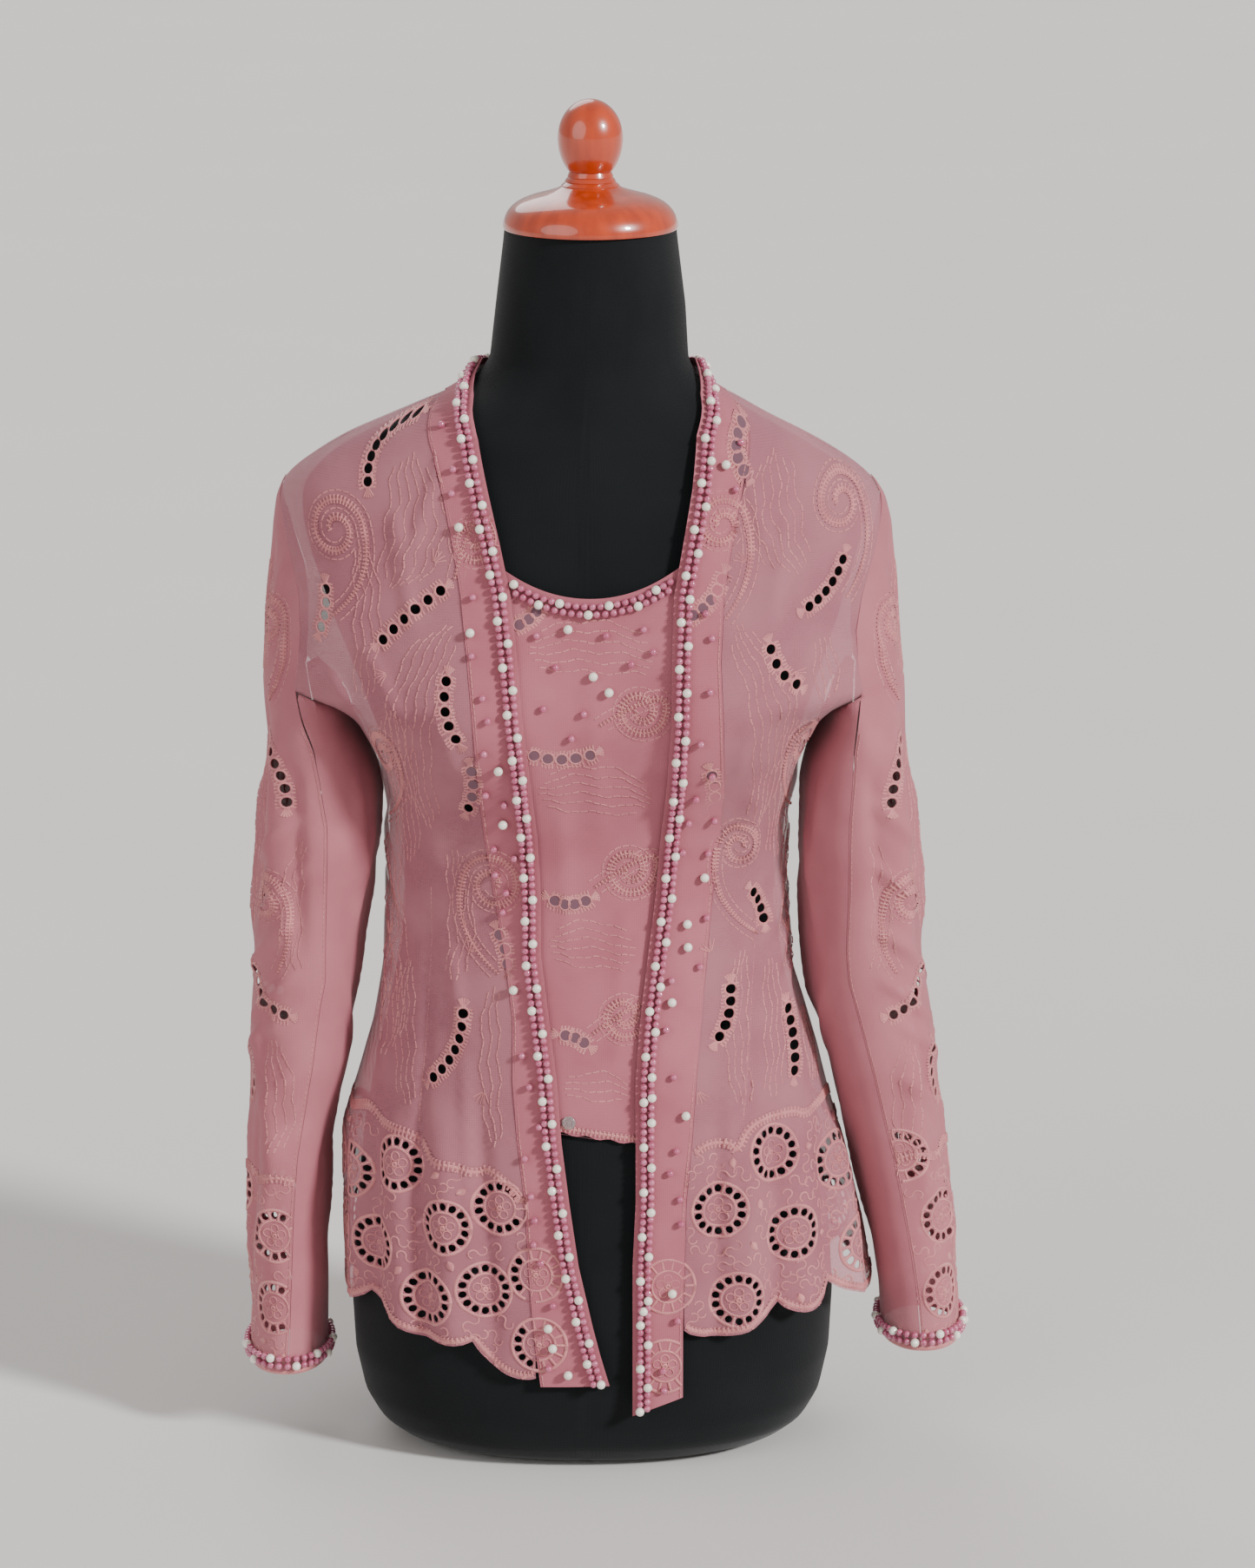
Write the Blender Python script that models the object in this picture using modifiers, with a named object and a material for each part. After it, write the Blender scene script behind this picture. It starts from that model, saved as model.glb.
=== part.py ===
"""Kebaya blouse with an insert panel, worn on a limbless dress form.

The cloth is built as a tailor builds it: flat panels with their own outlines, seams, scalloped hems
and eyelet holes, bent onto the worn shape. Panels are drawn on a chart of the garment, whose first
coordinate is the girth measured round the body from the centre front and whose second is the height.
Tables are in millimetres, and points become metres when a mesh is made. The front faces -Y and the
wearer's left is +X.
"""

import math

import bpy
import numpy as np
from mathutils import Vector
from mathutils.geometry import delaunay_2d_cdt

MM = 0.001
COLLECTION = "kebaya_on_dress_form"

# Driving sizes in millimetres
CLOTH = 1.2
BAND_CLOTH = 2.0
BAND_PROUD = 0.4
SEAM_GAP = 0.3
TRIM_GAP = 0.5
INSERT_SINK = 2.8
INSERT_TUCK = 14.0
TRIM_WIDTH = 11.0
TRIM_HEIGHT = 4.2
TRIM_INSET = 2.0
MESH_SPACING = 34.0
SHOULDER_SPACING = 14.0
SHOULDER_START = 625.0
SHOULDER_TIP = 651.0
ARMPIT_EASE = 0.9
UNDERARM_LOW = 498.0
UNDERARM_HIGH = 520.0
NECK_SEAM = 707.0
CHAIN_EYELET = 6.4
RING_RADIUS = 14.2
RING_EYELETS = 14
RING_EYELET = (4.3, 4.8)
SCALLOP_DEPTH = 11.0
Z_STEP = 2.0
Z_TOP = 736.0

# Height, half width on the wearer's right and left, depth in front and behind, roundness exponent
GARMENT_SECTIONS = (
    (0, 165, 189, 112, 126, 2.30),
    (60, 165, 189, 112, 126, 2.30),
    (105, 165, 188, 112, 125, 2.30),
    (149, 166, 180, 109, 121, 2.30),
    (184, 166, 172, 107, 118, 2.30),
    (216, 165, 163, 104, 115, 2.30),
    (235, 160, 158, 102, 111, 2.25),
    (264, 151, 151, 99, 107, 2.20),
    (283, 145, 145, 96, 103, 2.20),
    (320, 139, 134, 91, 93, 2.15),
    (348, 135, 130, 87, 86, 2.15),
    (380, 133, 126, 85, 81, 2.15),
    (410, 132, 126, 86, 82, 2.15),
    (434, 132, 128, 89, 85, 2.20),
    (447, 134, 131, 91, 87, 2.30),
    (461, 137, 134, 94, 90, 2.40),
    (480, 145, 141, 97, 93, 2.60),
    (497, 154, 151, 99, 95, 2.70),
    (506, 168, 163, 100, 96, 2.60),
    (512, 186, 179, 100, 96, 2.45),
    (518, 214, 204, 100, 96, 2.30),
    (561, 212, 200, 98, 96, 2.20),
    (589, 209, 198, 96, 95, 2.10),
    (621, 206, 195, 91, 92, 2.05),
    (638, 203, 190, 88, 88, 2.00),
    (651, 197, 181, 84, 85, 2.00),
    (660, 188, 170, 81, 81, 2.00),
    (671, 171, 152, 77, 77, 2.00),
    (682, 151, 132, 72, 72, 2.00),
    (692, 124, 112, 67, 67, 2.00),
    (700, 106, 98, 64, 64, 2.00),
    (707, 91, 84, 62, 61, 2.00),
    (715, 80, 74, 60, 58, 2.00),
    (727, 69, 67, 58, 55, 2.00),
    (736, 66, 65, 57, 54, 2.00),
)

# The same columns for the dress form, from its flat base to the top of its neck
FORM_SECTIONS = (
    (0, 112, 112, 72, 82, 2.30),
    (6, 131, 131, 88, 98, 2.30),
    (16, 144, 144, 97, 108, 2.30),
    (32, 153, 153, 102, 115, 2.30),
    (60, 159, 159, 106, 120, 2.30),
    (100, 161, 161, 107, 120, 2.30),
    (150, 158, 158, 104, 116, 2.30),
    (216, 151, 150, 98, 109, 2.25),
    (264, 142, 141, 92, 101, 2.20),
    (320, 129, 127, 84, 88, 2.15),
    (365, 123, 120, 79, 77, 2.15),
    (410, 123, 120, 79, 76, 2.15),
    (447, 126, 124, 84, 81, 2.20),
    (480, 137, 134, 90, 87, 2.30),
    (513, 149, 145, 93, 90, 2.30),
    (561, 168, 161, 91, 90, 2.20),
    (600, 181, 172, 87, 88, 2.10),
    (621, 186, 177, 84, 86, 2.05),
    (636, 187, 178, 81, 82, 2.00),
    (647, 185, 173, 78, 79, 2.00),
    (656, 178, 164, 75, 76, 2.00),
    (664, 170, 152, 72, 72, 2.00),
    (671, 160, 141, 70, 70, 2.00),
    (682, 140, 122, 66, 66, 2.00),
    (692, 115, 104, 61, 61, 2.00),
    (700, 98, 90, 59, 59, 2.00),
    (707, 85, 78, 57, 56, 2.00),
    (715, 75, 69, 55, 53, 2.00),
    (727, 65, 63, 53, 51, 2.00),
    (762, 61, 61, 53, 52, 2.00),
    (811, 55, 55, 53, 53, 2.00),
)
CUFF_STEPS = 12
FORM_SIDES = 26
FORM_RINGS = (
    0, 6, 16, 32, 60, 100, 160, 216, 264, 310, 365, 410, 440, 465, 485, 500, 520, 545, 575, 605, 625,
    640, 652, 662, 671, 680, 690, 700, 709, 718, 728, 762, 811,
)

# Half spacing of the bust points, their height, how far they stand out and how wide they spread
BUST = {"half_spacing": 88.0, "height": 500.0, "out": 19.0, "across": 44.0, "above": 53.0, "below": 41.0}

# Height, then the outer x, inner x and half depth of each sleeve and how far its middle lies back
RIGHT_SLEEVE = (
    (40, 230, 178, 45, -6),
    (91, 228, 177, 45, -5),
    (161, 228, 176, 46, -3),
    (207, 227, 174, 47, -1),
    (225, 227, 170, 47, 0),
    (263, 226, 160, 49, 0),
    (304, 225, 157, 51, 0),
    (346, 223, 151, 53, 0),
    (387, 220, 143, 55, 0),
    (415, 217, 138.5, 57, 0),
    (443, 215, 138, 58, 0),
    (461, 213, 141.5, 58, 0),
    (480, 212, 149.5, 58, 0),
    (497, 213, 158.5, 58, 0),
    (520, 214, 160, 58, 0),
)
LEFT_SLEEVE = (
    (40, 248, 195, 45, -4),
    (69, 247, 194, 45, -4),
    (104, 245, 192, 45, -3),
    (132, 242, 187, 46, -2),
    (167, 238, 180, 46, 0),
    (197, 234, 172, 47, 0),
    (225, 231, 165, 48, 0),
    (263, 228, 156, 49, 0),
    (304, 223, 144, 51, 0),
    (346, 217, 139, 53, 0),
    (387, 216, 137, 55, 0),
    (415, 212, 137, 58, 0),
    (446, 209, 138, 60, 0),
    (468, 207, 140.5, 61, 0),
    (480, 206, 145.5, 62, 0),
    (497, 205, 154, 62, 0),
    (520, 204, 153, 62, 0),
)
# Height, then the girth from the outermost line to the front seam and to the back seam
SLEEVE_SEAMS = {
    "right": (
        (40, 58, 56), (100, 60, 58), (200, 66, 60), (252, 74, 64),
        (323, 86, 70), (430, 84, 74), (480, 74, 68), (520, 59, 59),
    ),
    "left": (
        (40, 58, 56), (100, 60, 58), (200, 66, 60), (252, 74, 64),
        (323, 86, 70), (430, 84, 76), (480, 80, 76), (520, 69, 67),
    ),
}
CUFF = {"right": 54.0, "left": 70.0}

# Height, then the girth from the shoulder ridge to the armhole seam in front and behind
ARMHOLES = {
    "right": (
        (520, 59, 59), (535, 61, 60), (560, 61, 58), (582, 54, 52),
        (603, 41, 40), (623, 27, 27), (643, 8, 8), (651, 0, 0),
    ),
    "left": (
        (520, 69, 67), (535, 71, 68), (560, 68, 64), (582, 58, 54),
        (603, 43, 41), (623, 28, 27), (643, 8, 8), (651, 0, 0),
    ),
}

# Girth and height of each band's free edge, then of the seam across from it, bottom to shoulder
RIGHT_BAND = (
    (12, 67, -33, 66),
    (6, 88, -36, 88),
    (1, 108, -38, 108),
    (-8, 148, -41, 148),
    (-14, 190, -43, 190),
    (-19, 230, -48, 230),
    (-22, 270, -51, 270),
    (-27, 310, -51, 310),
    (-32, 350, -56, 350),
    (-32, 390, -63, 390),
    (-34, 430, -69, 430),
    (-38, 470, -72, 470),
    (-43, 510, -75, 510),
    (-46, 550, -78, 550),
    (-50, 590, -82, 590),
    (-57, 622, -87, 618),
    (-65, 655, -93, 647),
    (-72, 685, -101, 674),
    (-82, 709, -111, 695),
)
LEFT_BAND = (
    (27, 46, 60, 58),
    (27, 75, 60, 80),
    (27, 108, 60, 108),
    (27, 148, 61, 148),
    (29, 190, 62, 190),
    (29, 230, 66, 230),
    (29, 270, 69, 270),
    (32, 310, 73, 310),
    (37, 350, 77, 350),
    (42, 390, 81, 390),
    (45, 430, 85, 430),
    (49, 470, 86, 470),
    (52, 510, 85, 510),
    (52, 550, 83, 550),
    (53, 590, 85, 590),
    (59, 622, 90, 618),
    (65, 655, 96, 647),
    (69, 687, 104, 676),
    (79, 709, 110, 695),
)
# Share of the way from the shoulder ridge to the centre back, edge height and seam height
BAND_BACK = ((0.0, 727, 707), (0.17, 725, 703), (0.4, 720, 693), (0.7, 714, 683), (1.0, 711, 677))

# Girth and height of the points between the hem's scallops
HEMS = {
    "right": ((-33, 74), (-78, 95), (-158, 116), (-225, 114)),
    "left": ((60, 104), (126, 117), (168, 123), (245, 112)),
    "back": (
        (-234, 114), (-176, 112), (-118, 108), (-60, 104), (0, 102),
        (60, 104), (120, 108), (185, 111), (252, 112),
    ),
}

# Girth, height and bend of each end of a chain of eyelets: start, end, bend to the left, count
RIGHT_CHAINS = (
    (-121, 697, -145, 653, -11, 8),
    (-91, 596, -138, 557, -1.5, 6),
    (-90, 543, -83, 497, -6, 5),
    (-77, 484, -81, 446, 4, 4),
    (-177, 592, -183, 560, 3, 4),
    (-84, 315, -110, 264, 7, 7),
)
LEFT_CHAINS = (
    (107, 694, 101, 661, -9, 5),
    (170, 610, 140, 578, 5, 6),
    (115, 561, 139, 530, -5, 4),
    (112, 387, 124, 362, 3, 4),
    (93, 329, 83, 292, 4, 5),
    (143, 307, 145, 260, 3, 6),
)
# The back's girth is measured from its centre
BACK_CHAINS = (
    (35, 640, 68, 612, 8, 5),
    (45, 540, 83, 509, -8, 6),
    (25, 440, 52, 409, 8, 5),
    (35, 320, 66, 289, 8, 5),
    (123, 300, 110, 262, 6, 5),
)
# Sleeve girth runs from its outermost line, positive towards the front
SLEEVE_CHAINS = (
    (30, 485, 55, 440, 7, 6),
    (25, 330, 62, 300, -7, 6),
    (22, 275, 14, 235, 5, 5),
    (-20, 320, -52, 290, 7, 6),
)
# Girth and height of the border's eyelet rings that are cut through
RIGHT_RINGS = ((-96, 171), (-131, 208))
LEFT_RINGS = ((84, 183), (136, 162))

# Each large fold is a soft ridge along the chart: start, end, half width and how far it stands out.
# The peplum's folds run on past its hem.
RIGHT_FOLDS = (
    (-99, 262, -90, 50, 19, 6.5),
    (-135, 250, -128, 50, 17, 6.0),
    (-168, 246, -176, 50, 19, 6.5),
    (-185, 440, -118, 350, 15, 4.0),
    (-112, 470, -104, 395, 15, 3.5),
)
LEFT_FOLDS = (
    (106, 246, 101, 50, 18, 6.5),
    (145, 245, 146, 50, 19, 6.0),
    (188, 240, 194, 50, 20, 6.5),
    (182, 436, 122, 346, 15, 4.0),
    (112, 470, 108, 395, 15, 3.5),
)
# Across is measured from the centre back, and each row is built on both sides
BACK_FOLDS = (
    (42, 255, 47, 50, 20, 6.5),
    (92, 255, 100, 50, 20, 6.5),
    (142, 250, 156, 50, 20, 6.5),
    (72, 420, 125, 340, 16, 4.0),
)
# Sleeve girth from the outermost line; a row that stands in is a trough
RIGHT_SLEEVE_FOLDS = (
    (40, 505, 47, 350, 15, 5.0),
    (60, 480, 69, 330, 10, -4.0),
    (30, 300, 52, 180, 16, 4.5),
    (-48, 480, -44, 330, 16, 4.5),
)
LEFT_SLEEVE_FOLDS = (
    (68, 480, 62, 330, 10, -4.0),
    (46, 490, 42, 320, 15, 5.0),
    (50, 285, 42, 150, 15, 4.5),
    (-48, 480, -44, 330, 16, 4.5),
)
FOLD_STEP = 32.0

# Radius and height down the turned cap's outside, and down the knob's
CAP_PROFILE = (
    (13.6, 847.5), (14.6, 845.0), (16.2, 842.0), (18.6, 839.0), (22.0, 836.4), (32.0, 833.5),
    (43.0, 830.0), (50.0, 826.0), (54.6, 820.0), (56.3, 814.5), (56.0, 811.3),
)
KNOB_LOW = 847.8
KNOB_HIGH = 894.0
KNOB_RADIUS = 21.0

SNAP = {"girth": -14.5, "height": 243.0, "radius": 4.5, "thick": 1.8}

MATERIALS = {
    "single_voile": ((0.36, 0.17, 0.20), 0.75),
    "doubled_voile": ((0.50, 0.19, 0.22), 0.75),
    "pearl": ((0.62, 0.22, 0.28), 0.35),
    "clear_plastic": ((0.80, 0.80, 0.80), 0.15),
    "black_jersey": ((0.006, 0.008, 0.009), 0.85),
    "orange_lacquer": ((0.60, 0.08, 0.02), 0.15),
}


def smooth_column(rows, index, low, high, reach=6):
    """One column of a section table against height, every Z_STEP, with its corners rounded off."""
    rows = np.array(rows, float)
    z = np.arange(low - 20.0, high + 21.0)
    values = np.interp(z, rows[:, 0], rows[:, index])
    weights = np.hanning(2 * reach + 3)[1:-1]
    smooth = np.convolve(values, weights / weights.sum(), mode="valid")
    heights = np.arange(low, high + Z_STEP / 2, Z_STEP)
    return np.interp(heights, z[reach:-reach], smooth)


def power(value, exponent):
    return np.sign(value) * np.abs(value) ** exponent


def with_bust(x, y, z):
    """Moves the front out over the two bust points."""
    spread = np.where(z > BUST["height"], BUST["above"], BUST["below"])
    for middle in (-BUST["half_spacing"], BUST["half_spacing"]):
        fall = ((x - middle) / BUST["across"]) ** 2 + ((z - BUST["height"]) / spread) ** 2
        y = y - BUST["out"] * np.exp(-fall / 2) * np.clip(-y / 40.0, 0.0, 1.0)
    return y


def ring_points(angle, right, left, front, back, roundness):
    """A horizontal section: angle 0 is the centre front, a quarter turn is the wearer's left."""
    side = np.sin(angle)
    face = np.cos(angle)
    x = np.where(side < 0, right, left) * power(side, 2.0 / roundness)
    y = -np.where(face > 0, front, back) * power(face, 2.0 / roundness)
    return x, y


class Chart:
    """A surface of closed horizontal sections, charted by girth and height."""

    def charted(self, heights, x, y, start):
        """Keeps the sections and measures girth round each from its start column."""
        steps = np.hypot(np.diff(x, axis=1), np.diff(y, axis=1))
        girth = np.concatenate([np.zeros((len(steps), 1)), np.cumsum(steps, axis=1)], axis=1)
        self.heights, self.x, self.y = heights, x, y
        self.girth = girth - girth[:, start : start + 1]

    def on_row(self, row, girth):
        """Where these girths lie on one section, going on round past its last column."""
        start = self.girth[row, 0]
        turned = start + (girth - start) % (self.girth[row, -1] - start)
        found = [np.interp(turned, self.girth[row], table[row]) for table in (self.x, self.y)]
        return np.stack(found, axis=-1)

    def section_point(self, girth, z):
        place = np.clip((z - self.heights[0]) / Z_STEP, 0.0, len(self.heights) - 1.001)
        low = np.floor(place).astype(int)
        blend = (place - low)[..., None]
        out = np.empty(girth.shape + (3,))
        for row in np.unique(low):
            here = low == row
            below, above = (self.on_row(step, girth[here]) for step in (row, row + 1))
            out[here, :2] = below + blend[here] * (above - below)
        out[..., 2] = z
        return out


class Girth(Chart):
    """The worn garment's surface, charted by girth from the centre front and by height."""

    def __init__(self):
        heights = np.arange(0.0, Z_TOP + Z_STEP / 2, Z_STEP)
        columns = [smooth_column(GARMENT_SECTIONS, i, 0.0, Z_TOP)[:, None] for i in range(1, 6)]
        x, y = ring_points(np.linspace(-np.pi, np.pi, 721)[None, :], *columns)
        self.charted(heights, x, with_bust(x, y, heights[:, None]), 360)

    def side(self, which, z):
        """Girth of the side line and shoulder ridge."""
        return np.interp(z, self.heights, self.girth[:, 540 if which == "left" else 180])

    def centre_back(self, which, z):
        return np.interp(z, self.heights, self.girth[:, -1 if which == "left" else 0])

    def half_width(self, which, y, z):
        """How far out the body reaches at rows of depths, one row for each height."""
        columns = slice(400, 681) if which == "left" else slice(320, 39, -1)
        out = np.empty(y.shape)
        for k, height in enumerate(z):
            row = int(round(float(height) / Z_STEP))
            out[k] = np.abs(np.interp(y[k], self.y[row, columns], self.x[row, columns]))
        return out


GIRTH = Girth()


def back_point(across, z):
    """The garment's surface, charted from the centre back, positive to the wearer's left."""
    left = GIRTH.centre_back("left", z) - across
    right = GIRTH.centre_back("right", z) - across
    return GIRTH.section_point(np.where(across >= 0, left, right), z)


class Sleeve(Chart):
    """One sleeve's surface, charted by girth from its outermost line and by height.

    Above the armpit it is the garment's own surface, turned about the shoulder ridge. Below it the
    section turns from that curve into a closed flat tube.
    """

    def __init__(self, which, rows):
        self.which = which
        self.sign = 1.0 if which == "left" else -1.0
        low = rows[0][0]
        heights = np.arange(low, UNDERARM_HIGH + Z_STEP / 2, Z_STEP)
        outer, inner, depth, middle = (
            smooth_column(rows, i, low, UNDERARM_HIGH, 8)[: len(heights), None] for i in range(1, 5)
        )
        z = heights[:, None]
        angle = np.linspace(-np.pi, np.pi, 361)[None, :]
        y = -depth * power(np.sin(angle), 0.94)
        corner = outer * np.clip(1.0 - (depth / 100.0) ** 2.3, 0.0, 1.0) ** (1 / 2.3)
        cap = outer * (1.0 - (np.abs(y) / 100.0) ** 2.3) ** (1 / 2.3)
        centre = (outer + inner) / 2
        tube = centre + (outer - centre) * power(np.cos(angle), 0.94)
        share = np.clip((UNDERARM_HIGH - z) / 60.0, 0.0, 1.0)
        share = share * share * (3 - 2 * share)
        front = cap + share * (tube - cap)
        waist = corner + share * (centre - corner)
        rear = waist + (waist - inner) * power(np.cos(angle), 0.94)
        x = np.where(np.cos(angle) >= 0, front, rear)
        y = y + middle
        body = GIRTH.half_width(which, y, heights)
        gap = 1.6 + 2.0 * np.clip((UNDERARM_LOW - z) / 30.0, 0.0, 1.0)
        seam = UNDERARM_LOW + (UNDERARM_HIGH - UNDERARM_LOW) * (y / depth) ** 2
        x = np.where((np.cos(angle) < 0.2) & (z < seam + 2.0), np.maximum(x, body + gap), x)
        self.charted(heights, self.sign * x, y, 180)

    def whole(self, z):
        """Girth right round the sleeve."""
        return float(np.interp(z, self.heights, self.girth[:, -1] - self.girth[:, 0]))

    def underarm(self):
        """The under piece's top, from near the front corner round by the inner line to the back."""
        points = []
        for out in (-0.82, -0.6, -0.3, 0.0, 0.3, 0.6, 0.82):
            z = UNDERARM_LOW + (UNDERARM_HIGH - UNDERARM_LOW) * out**2
            row = int(round((z - self.heights[0]) / Z_STEP))
            reach = self.girth[row, -1] - self.girth[row, 270]
            points.append((float(self.girth[row, -1] + out * reach), z))
        return points

    def point(self, across, z):
        cap = GIRTH.section_point(GIRTH.side(self.which, z) - self.sign * across, z)
        return np.where((z >= UNDERARM_HIGH)[..., None], cap, self.section_point(across, z))


def normals(surface, chart, outward):
    """Unit normals of a charted surface at chart points, pointing away from the hollow."""
    step = 1.5
    across = surface(chart[:, 0] + step, chart[:, 1]) - surface(chart[:, 0] - step, chart[:, 1])
    up = surface(chart[:, 0], chart[:, 1] + step) - surface(chart[:, 0], chart[:, 1] - step)
    cross = np.cross(across, up) * outward
    return cross / np.linalg.norm(cross, axis=1)[:, None]


def fold_height(chart, folds):
    """How far the large folds stand out at chart points."""
    height = np.zeros(len(chart))
    for start_g, start_z, end_g, end_z, reach, out in folds:
        start = np.array([start_g, start_z], float)
        along = np.array([end_g, end_z], float) - start
        share = np.clip((chart - start) @ along / (along @ along), 0.0, 1.0)
        away = np.linalg.norm(chart - start - share[:, None] * along, axis=1)
        crown = np.cos(np.clip(away / reach, 0.0, 1.0) * math.pi / 2) ** 2
        taper = np.clip(np.minimum(share, 1.0 - share) / 0.25, 0.0, 1.0)
        height += out * crown * taper * taper * (3 - 2 * taper)
    return height


def folded(surface, folds, outward):
    """A charted surface with its large folds raised along its normals."""

    def raised(across, z):
        chart = np.stack([across, z], axis=1)
        return surface(across, z) + fold_height(chart, folds)[:, None] * normals(surface, chart, outward)

    return raised


def fold_guides(folds, outline, holes):
    """Points along each fold's crest and feet, so that the triangles follow it."""
    points = []
    for start_g, start_z, end_g, end_z, reach, _ in folds:
        start = np.array([start_g, start_z], float)
        along = np.array([end_g, end_z], float) - start
        length = float(np.linalg.norm(along))
        side = np.array([-along[1], along[0]]) / length
        count = max(2, round(length / FOLD_STEP))
        for k in range(1, count):
            points += [start + along * k / count + side * offset * reach for offset in (-0.9, 0.0, 0.9)]
    points = np.array(points)
    clear = inside(points, outline)
    for loop in [outline] + holes:
        clear &= distance_to(points, loop) > 0.4 * SHOULDER_SPACING
        if loop is not outline:
            clear &= ~inside(points, loop)
    return points[clear]


def moved(points, distance):
    """A polyline moved to its left by a distance."""
    points = np.array(points, float)
    along = np.gradient(points, axis=0)
    along /= np.linalg.norm(along, axis=1)[:, None]
    return points + distance * np.stack([-along[:, 1], along[:, 0]], axis=1)


def inside(points, outline):
    """Whether each chart point lies in a closed outline."""
    x, y = points[:, 0], points[:, 1]
    found = np.zeros(len(points), bool)
    for a, b in zip(outline, np.roll(outline, -1, axis=0)):
        crosses = (a[1] > y) != (b[1] > y)
        rise = b[1] - a[1] if b[1] != a[1] else 1e-9
        found ^= crosses & (x < (b[0] - a[0]) * (y - a[1]) / rise + a[0])
    return found


def distance_to(points, outline):
    """Distance of each chart point to a closed outline."""
    best = np.full(len(points), np.inf)
    for a, b in zip(outline, np.roll(outline, -1, axis=0)):
        edge = b - a
        share = np.clip((points - a) @ edge / max(edge @ edge, 1e-9), 0.0, 1.0)
        best = np.minimum(best, np.linalg.norm(points - a - share[:, None] * edge, axis=1))
    return best


def grid(outline, spacing):
    """Staggered chart points over an outline, closer together on the shoulder slope."""
    low = outline.min(axis=0)
    high = outline.max(axis=0)
    points = []
    z = low[1] + spacing / 2
    row = 0
    while z < high[1]:
        shoulder = z > SHOULDER_START
        across = SHOULDER_SPACING if shoulder else spacing
        start = low[0] + (0.25 if row % 2 else 0.75) * across
        points += [(x, z) for x in np.arange(start, high[0], across)]
        z += (SHOULDER_SPACING if shoulder else spacing) * 0.87
        row += 1
    return np.array(points)


def disc(girth, z, radius, sides, turn=0.0):
    angles = turn + 2 * math.pi * np.arange(sides) / sides
    return np.stack([girth + radius * np.cos(angles), z + radius * np.sin(angles)], axis=1)


def chain_eyelets(rows):
    """Five-sided holes along bent chains."""
    holes = []
    for start_g, start_z, end_g, end_z, bend, count in rows:
        along = np.array([end_g - start_g, end_z - start_z], float)
        side = np.array([-along[1], along[0]]) / np.linalg.norm(along)
        for share in (np.arange(count) + 0.5) / count:
            middle = np.array([start_g, start_z]) + share * along + 4 * bend * share * (1 - share) * side
            holes.append(disc(middle[0], middle[1], CHAIN_EYELET / 2, 5, share))
    return holes


def ring_eyelets(rows):
    """Four-sided holes round each border ring."""
    holes = []
    for girth, z in rows:
        for k in range(RING_EYELETS):
            angle = 2 * math.pi * (k + 0.5) / RING_EYELETS
            out = np.array([math.cos(angle), math.sin(angle)])
            side = np.array([-out[1], out[0]])
            middle = np.array([girth, z]) + RING_RADIUS * out
            across = side * RING_EYELET[0] / 2
            deep = out * RING_EYELET[1] / 2
            corners = [(-across, -deep), (across, -deep), (across, deep), (-across, deep)]
            holes.append(np.array([middle + a + b for a, b in corners]))
    return holes


def triangulate(outline, holes, extra, spacing):
    """Chart triangles over an outline less its holes."""
    outline = np.array(outline)
    loops = [outline] + holes
    fill = grid(outline, spacing)
    fill = fill[inside(fill, outline)]
    for loop in loops:
        fill = fill[distance_to(fill, loop) > (0.45 if loop is outline else 0.8) * SHOULDER_SPACING]
    for hole in holes:
        fill = fill[~inside(fill, hole)]
    nearest = np.min(np.linalg.norm(fill[:, None] - extra[None], axis=2), axis=1, initial=math.inf)
    fill = np.concatenate([fill[nearest > 0.6 * SHOULDER_SPACING], extra])
    points = []
    edges = []
    for loop in loops:
        first = len(points)
        points += [Vector(p) for p in loop]
        edges += [(first + k, first + (k + 1) % len(loop)) for k in range(len(loop))]
    points += [Vector(p) for p in fill]
    chart, _, faces, _, _, _ = delaunay_2d_cdt(points, edges, [], 1, 1e-4, False)
    chart = np.array([(p[0], p[1]) for p in chart])
    faces = np.array([face for face in faces])
    middles = chart[faces].mean(axis=1)
    keep = inside(middles, outline)
    for hole in holes:
        keep &= ~inside(middles, hole)
    return chart, faces[keep]


def link(name, mesh, material):
    mesh.shade_smooth()
    mesh.set_sharp_from_angle(angle=math.radians(40))
    mesh.materials.append(material)
    obj = bpy.data.objects.new(name, mesh)
    bpy.data.collections[COLLECTION].objects.link(obj)
    return obj


def wall(name, material, surface, chart, faces, outward, outer=0.0, inner=-CLOTH):
    """A closed cloth wall over chart triangles, between two distances out from the surface."""
    points = surface(chart[:, 0], chart[:, 1])
    normal = normals(surface, chart, outward)
    corners = chart[faces]
    first, second = corners[:, 1] - corners[:, 0], corners[:, 2] - corners[:, 0]
    turns = np.sign(first[:, 0] * second[:, 1] - first[:, 1] * second[:, 0])
    if turns.sum() * outward < 0:
        faces = faces[:, ::-1]
    count = len(chart)
    outer = np.broadcast_to(outer, count)[:, None]
    inner = np.broadcast_to(inner, count)[:, None]
    vertices = np.concatenate([points + outer * normal, points + inner * normal])
    ends = np.concatenate([faces[:, [0, 1]], faces[:, [1, 2]], faces[:, [2, 0]]])
    edges = {tuple(end) for end in ends.tolist()}
    rims = sorted((a, b) for a, b in edges if (b, a) not in edges)
    polygons = faces.tolist() + (faces[:, ::-1] + count).tolist()
    polygons += [(b, a, a + count) for a, b in rims] + [(b, a + count, b + count) for a, b in rims]
    mesh = bpy.data.meshes.new(name)
    mesh.from_pydata((vertices * MM).tolist(), [], polygons)
    return link(name, mesh, material)


def strip_faces(columns, rows, closed=False):
    """Chart triangles of a structured strip, one row of points after another."""
    faces = []
    for row in range(rows if closed else rows - 1):
        here = row * columns
        there = (row + 1) % rows * columns
        for k in range(columns - 1):
            faces += [(here + k, here + k + 1, there + k + 1), (here + k, there + k + 1, there + k)]
    return np.array(faces)


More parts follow.
